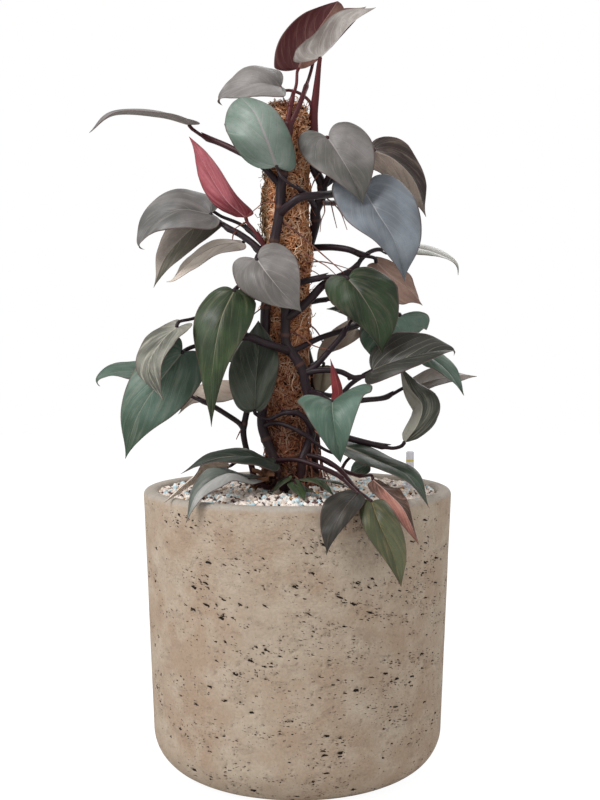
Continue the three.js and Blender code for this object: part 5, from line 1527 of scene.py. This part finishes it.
# Aerial roots, each from the stem it leaves to its free or buried end
airRoots = {
    "propStarts": ((17, 6, 330), (15, 6, 300), (12, -23, 312), (5, -25, 292), (-20, -25, 288), (16, 6, 280)),
    "radius": 0.9, "propCount": 30, "seed": 21,
    "paths": [
        [[24, -8, 531], [25, -12, 521], [23, -14, 512], [21, -15, 502]],
        [[31, -7, 531], [34, -10, 519], [36, -12, 506]],
        [[27, -8, 534], [38, -10, 521], [46, -12, 504]],
        [[20, -8, 556], [16, -16, 548], [13, -20, 540]],
        [[-14, -24, 510], [2, -31, 498], [21, -33, 482], [42, -34, 461]],
        [[8, -20, 480], [17, -30, 473], [26, -32, 468], [36, -33, 460]],
        [[8, -20, 473], [22, -30, 473], [39, -32, 469], [49, -33, 466]],
        [[-4, -26, 456], [2, -31, 460], [12, -33, 464], [23, -32, 459]],
        [[-8, -26, 410], [7, -31, 403], [13, -33, 396], [30, -34, 393]],
        [[-26, -24, 452], [-36, -28, 447], [-44, -30, 441], [-50, -31, 433], [-52, -30, 424]],
        [[-29, -22, 437], [-33, -28, 431], [-39, -31, 424], [-45, -32, 418]],
        [[-48, -18, 510], [-53, -24, 507], [-57, -26, 502]],
        [[-56, -16, 502], [-60, -20, 499], [-61, -22, 493]],
        [[-16, -25, 528], [-30, -28, 526], [-38, -30, 522], [-47, -31, 514]],
        [[-50, -8, 320], [-53, -11, 317], [-58, -13, 309]],
        [[-32, -20, 372], [-44, -26, 376], [-62, -28, 380], [-74, -28, 378]],
        [[13, -23, 322], [20, -32, 316], [30, -34, 314]],
        [[10, -24, 340], [-4, -30, 336], [-16, -30, 340]],
        [[6, 24, 420], [18, 32, 410], [24, 34, 396], [22, 36, 380]],
        [[2, 26, 450], [-12, 30, 444], [-22, 30, 432]],
        [[-32, -18, 350], [-38, -6, 342], [-36, 10, 332]],
    ],
}


def makeAirRoots():
    draw = random.Random(airRoots["seed"])
    parts = []
    for path in airRoots["paths"]:
        thick = airRoots["radius"] * draw.uniform(0.8, 1.15)
        bent = [path[0]] + [[v + draw.uniform(-1.2, 1.2) for v in p] for p in path[1:]]
        parts.append(tubeParts(bent, tapered(thick, 0.55), 6, 2.5))
    for _ in range(airRoots["propCount"]):
        x, y, z = draw.choice(airRoots["propStarts"])
        z = z + draw.uniform(-10, 10)
        angle = draw.uniform(-0.4 * math.pi, 0.45 * math.pi) - (0.5 * math.pi if y < 0 else 0)
        path, steps = [(x, y, z)], 5
        for k in range(1, steps + 1):
            reach = 3.5 * k + draw.uniform(-1, 1)
            level = z + (moundLevel(x + 12, y) - 2 - z) * (k / steps) ** 1.4
            path.append((x + reach * math.cos(angle) + draw.uniform(-1.5, 1.5),
                         y + 0.6 * reach * math.sin(angle) + draw.uniform(-1.5, 1.5), level))
        parts.append(tubeParts(path, tapered(draw.uniform(0.5, 0.95), 0.4), 6, 3))
    points, faces, uvs, _ = joinParts(parts)
    mount(makeMesh("air_roots", points, faces, [bpy.data.materials["airRoots"]], uvs=uvs), "roots")


# Young shoots round the crown at the foot

crown = {"foot": (-12, -40, 240), "top": (-12, -41, 273), "radius": 5.2, "stalkRadius": 1.3}
shoots = [
    {"midrib": [(-9, -57, 277), (-16, -62, 272), (-24, -64, 262)], "halfWidth": 6},
    {"midrib": [(-3, -60, 274), (1, -75, 269), (7, -92, 260)], "halfWidth": 6.5},
    {"midrib": [(9, -62, 276), (20, -74, 276), (33, -78, 262)], "halfWidth": 8},
    {"midrib": [(20, -44, 275), (33, -52, 273), (48, -56, 267)], "halfWidth": 5},
    {"midrib": [(3, -56, 269), (9, -64, 267), (17, -70, 264)], "halfWidth": 5},
]


def makeShoots():
    upper = paint(56, 74, 44), paint(30, 42, 24), paint(140, 150, 110), 0.2, 0.3
    under = paint(126, 134, 104), paint(96, 100, 76), paint(160, 150, 130), 0.2, 0.3
    finishes = [bladeFinish("shootUpper", upper, True), bladeFinish("shootUnder", under, False),
                bpy.data.materials["bladeRim"], bpy.data.materials["stemSkin"]]
    parts = [tubeParts([crown["foot"], crown["top"]], lambda f, run: crown["radius"], 12, 4)]
    slots = [3] * len(parts[0][1])
    top = np.array(crown["top"], float) - [0, 0, 4]
    for number, shoot in enumerate(shoots):
        start, middle, tip = [np.array(p, float) for p in shoot["midrib"]]
        sideways = unit(np.cross(tip - start, np.array([0, 0, 1.0]))) * shoot["halfWidth"]
        droop = np.array([0, 0, -0.25 * shoot["halfWidth"]])
        left, right = middle - sideways + droop, middle + sideways + droop
        leaf = {"midrib": shoot["midrib"], "left": left, "right": right}
        way = [top, start, middle + (start - middle) * 0.6]
        parts.append(tubeParts(way, lambda f, run: crown["stalkRadius"], 8, 3))
        slots += [3] * len(parts[-1][1])
        *shape, kinds = bladeParts(leaf, 60 + number, 30, 0.5)
        parts.append(shape)
        slots += kinds
    points, faces, uvs, _ = joinParts(parts)
    mount(makeMesh("crown_shoots", points, faces, finishes, slots, uvs), "shoots", "base_shoots")


# Floor

def makeFloor():
    finish, tree, place = newFinish("paleFloor", Roughness=0.9, Specular_IOR_Level=0.0)
    tint = times(tree, speckle(tree, place, 3.0), 0.02)
    shade = blendColour(tree, tint, studio["floorShade"], (1, 1, 1, 1))
    seen = addNode(tree, "ShaderNodeLightPath").outputs["Is Camera Ray"]
    connect(tree, blendColour(tree, seen, studio["floorBounce"], shade))
    skin = tree.nodes["skin"].inputs
    skin["Emission Color"].default_value = (1, 1, 1, 1)
    tree.links.new(times(tree, seen, studio["floorWhite"]), skin["Emission Strength"])
    reach = 4000
    points = [(-reach, -reach, -0.5), (reach, -reach, -0.5), (reach, reach, -0.5), (-reach, reach, -0.5)]
    makeMesh("floor", points, [(0, 1, 2, 3)], [finish])


addCamera()
scene.view_settings.view_transform = "Standard"
addSky()
for lamp in ("key", "fill", "rim"):
    addSoftLight(lamp)
makeFloor()
makePlanter()
makeBed()
makeRootBall()
makePole()
makeGauge()
makeLeaves()
makeStems()
makeShoots()
makeAirRoots()
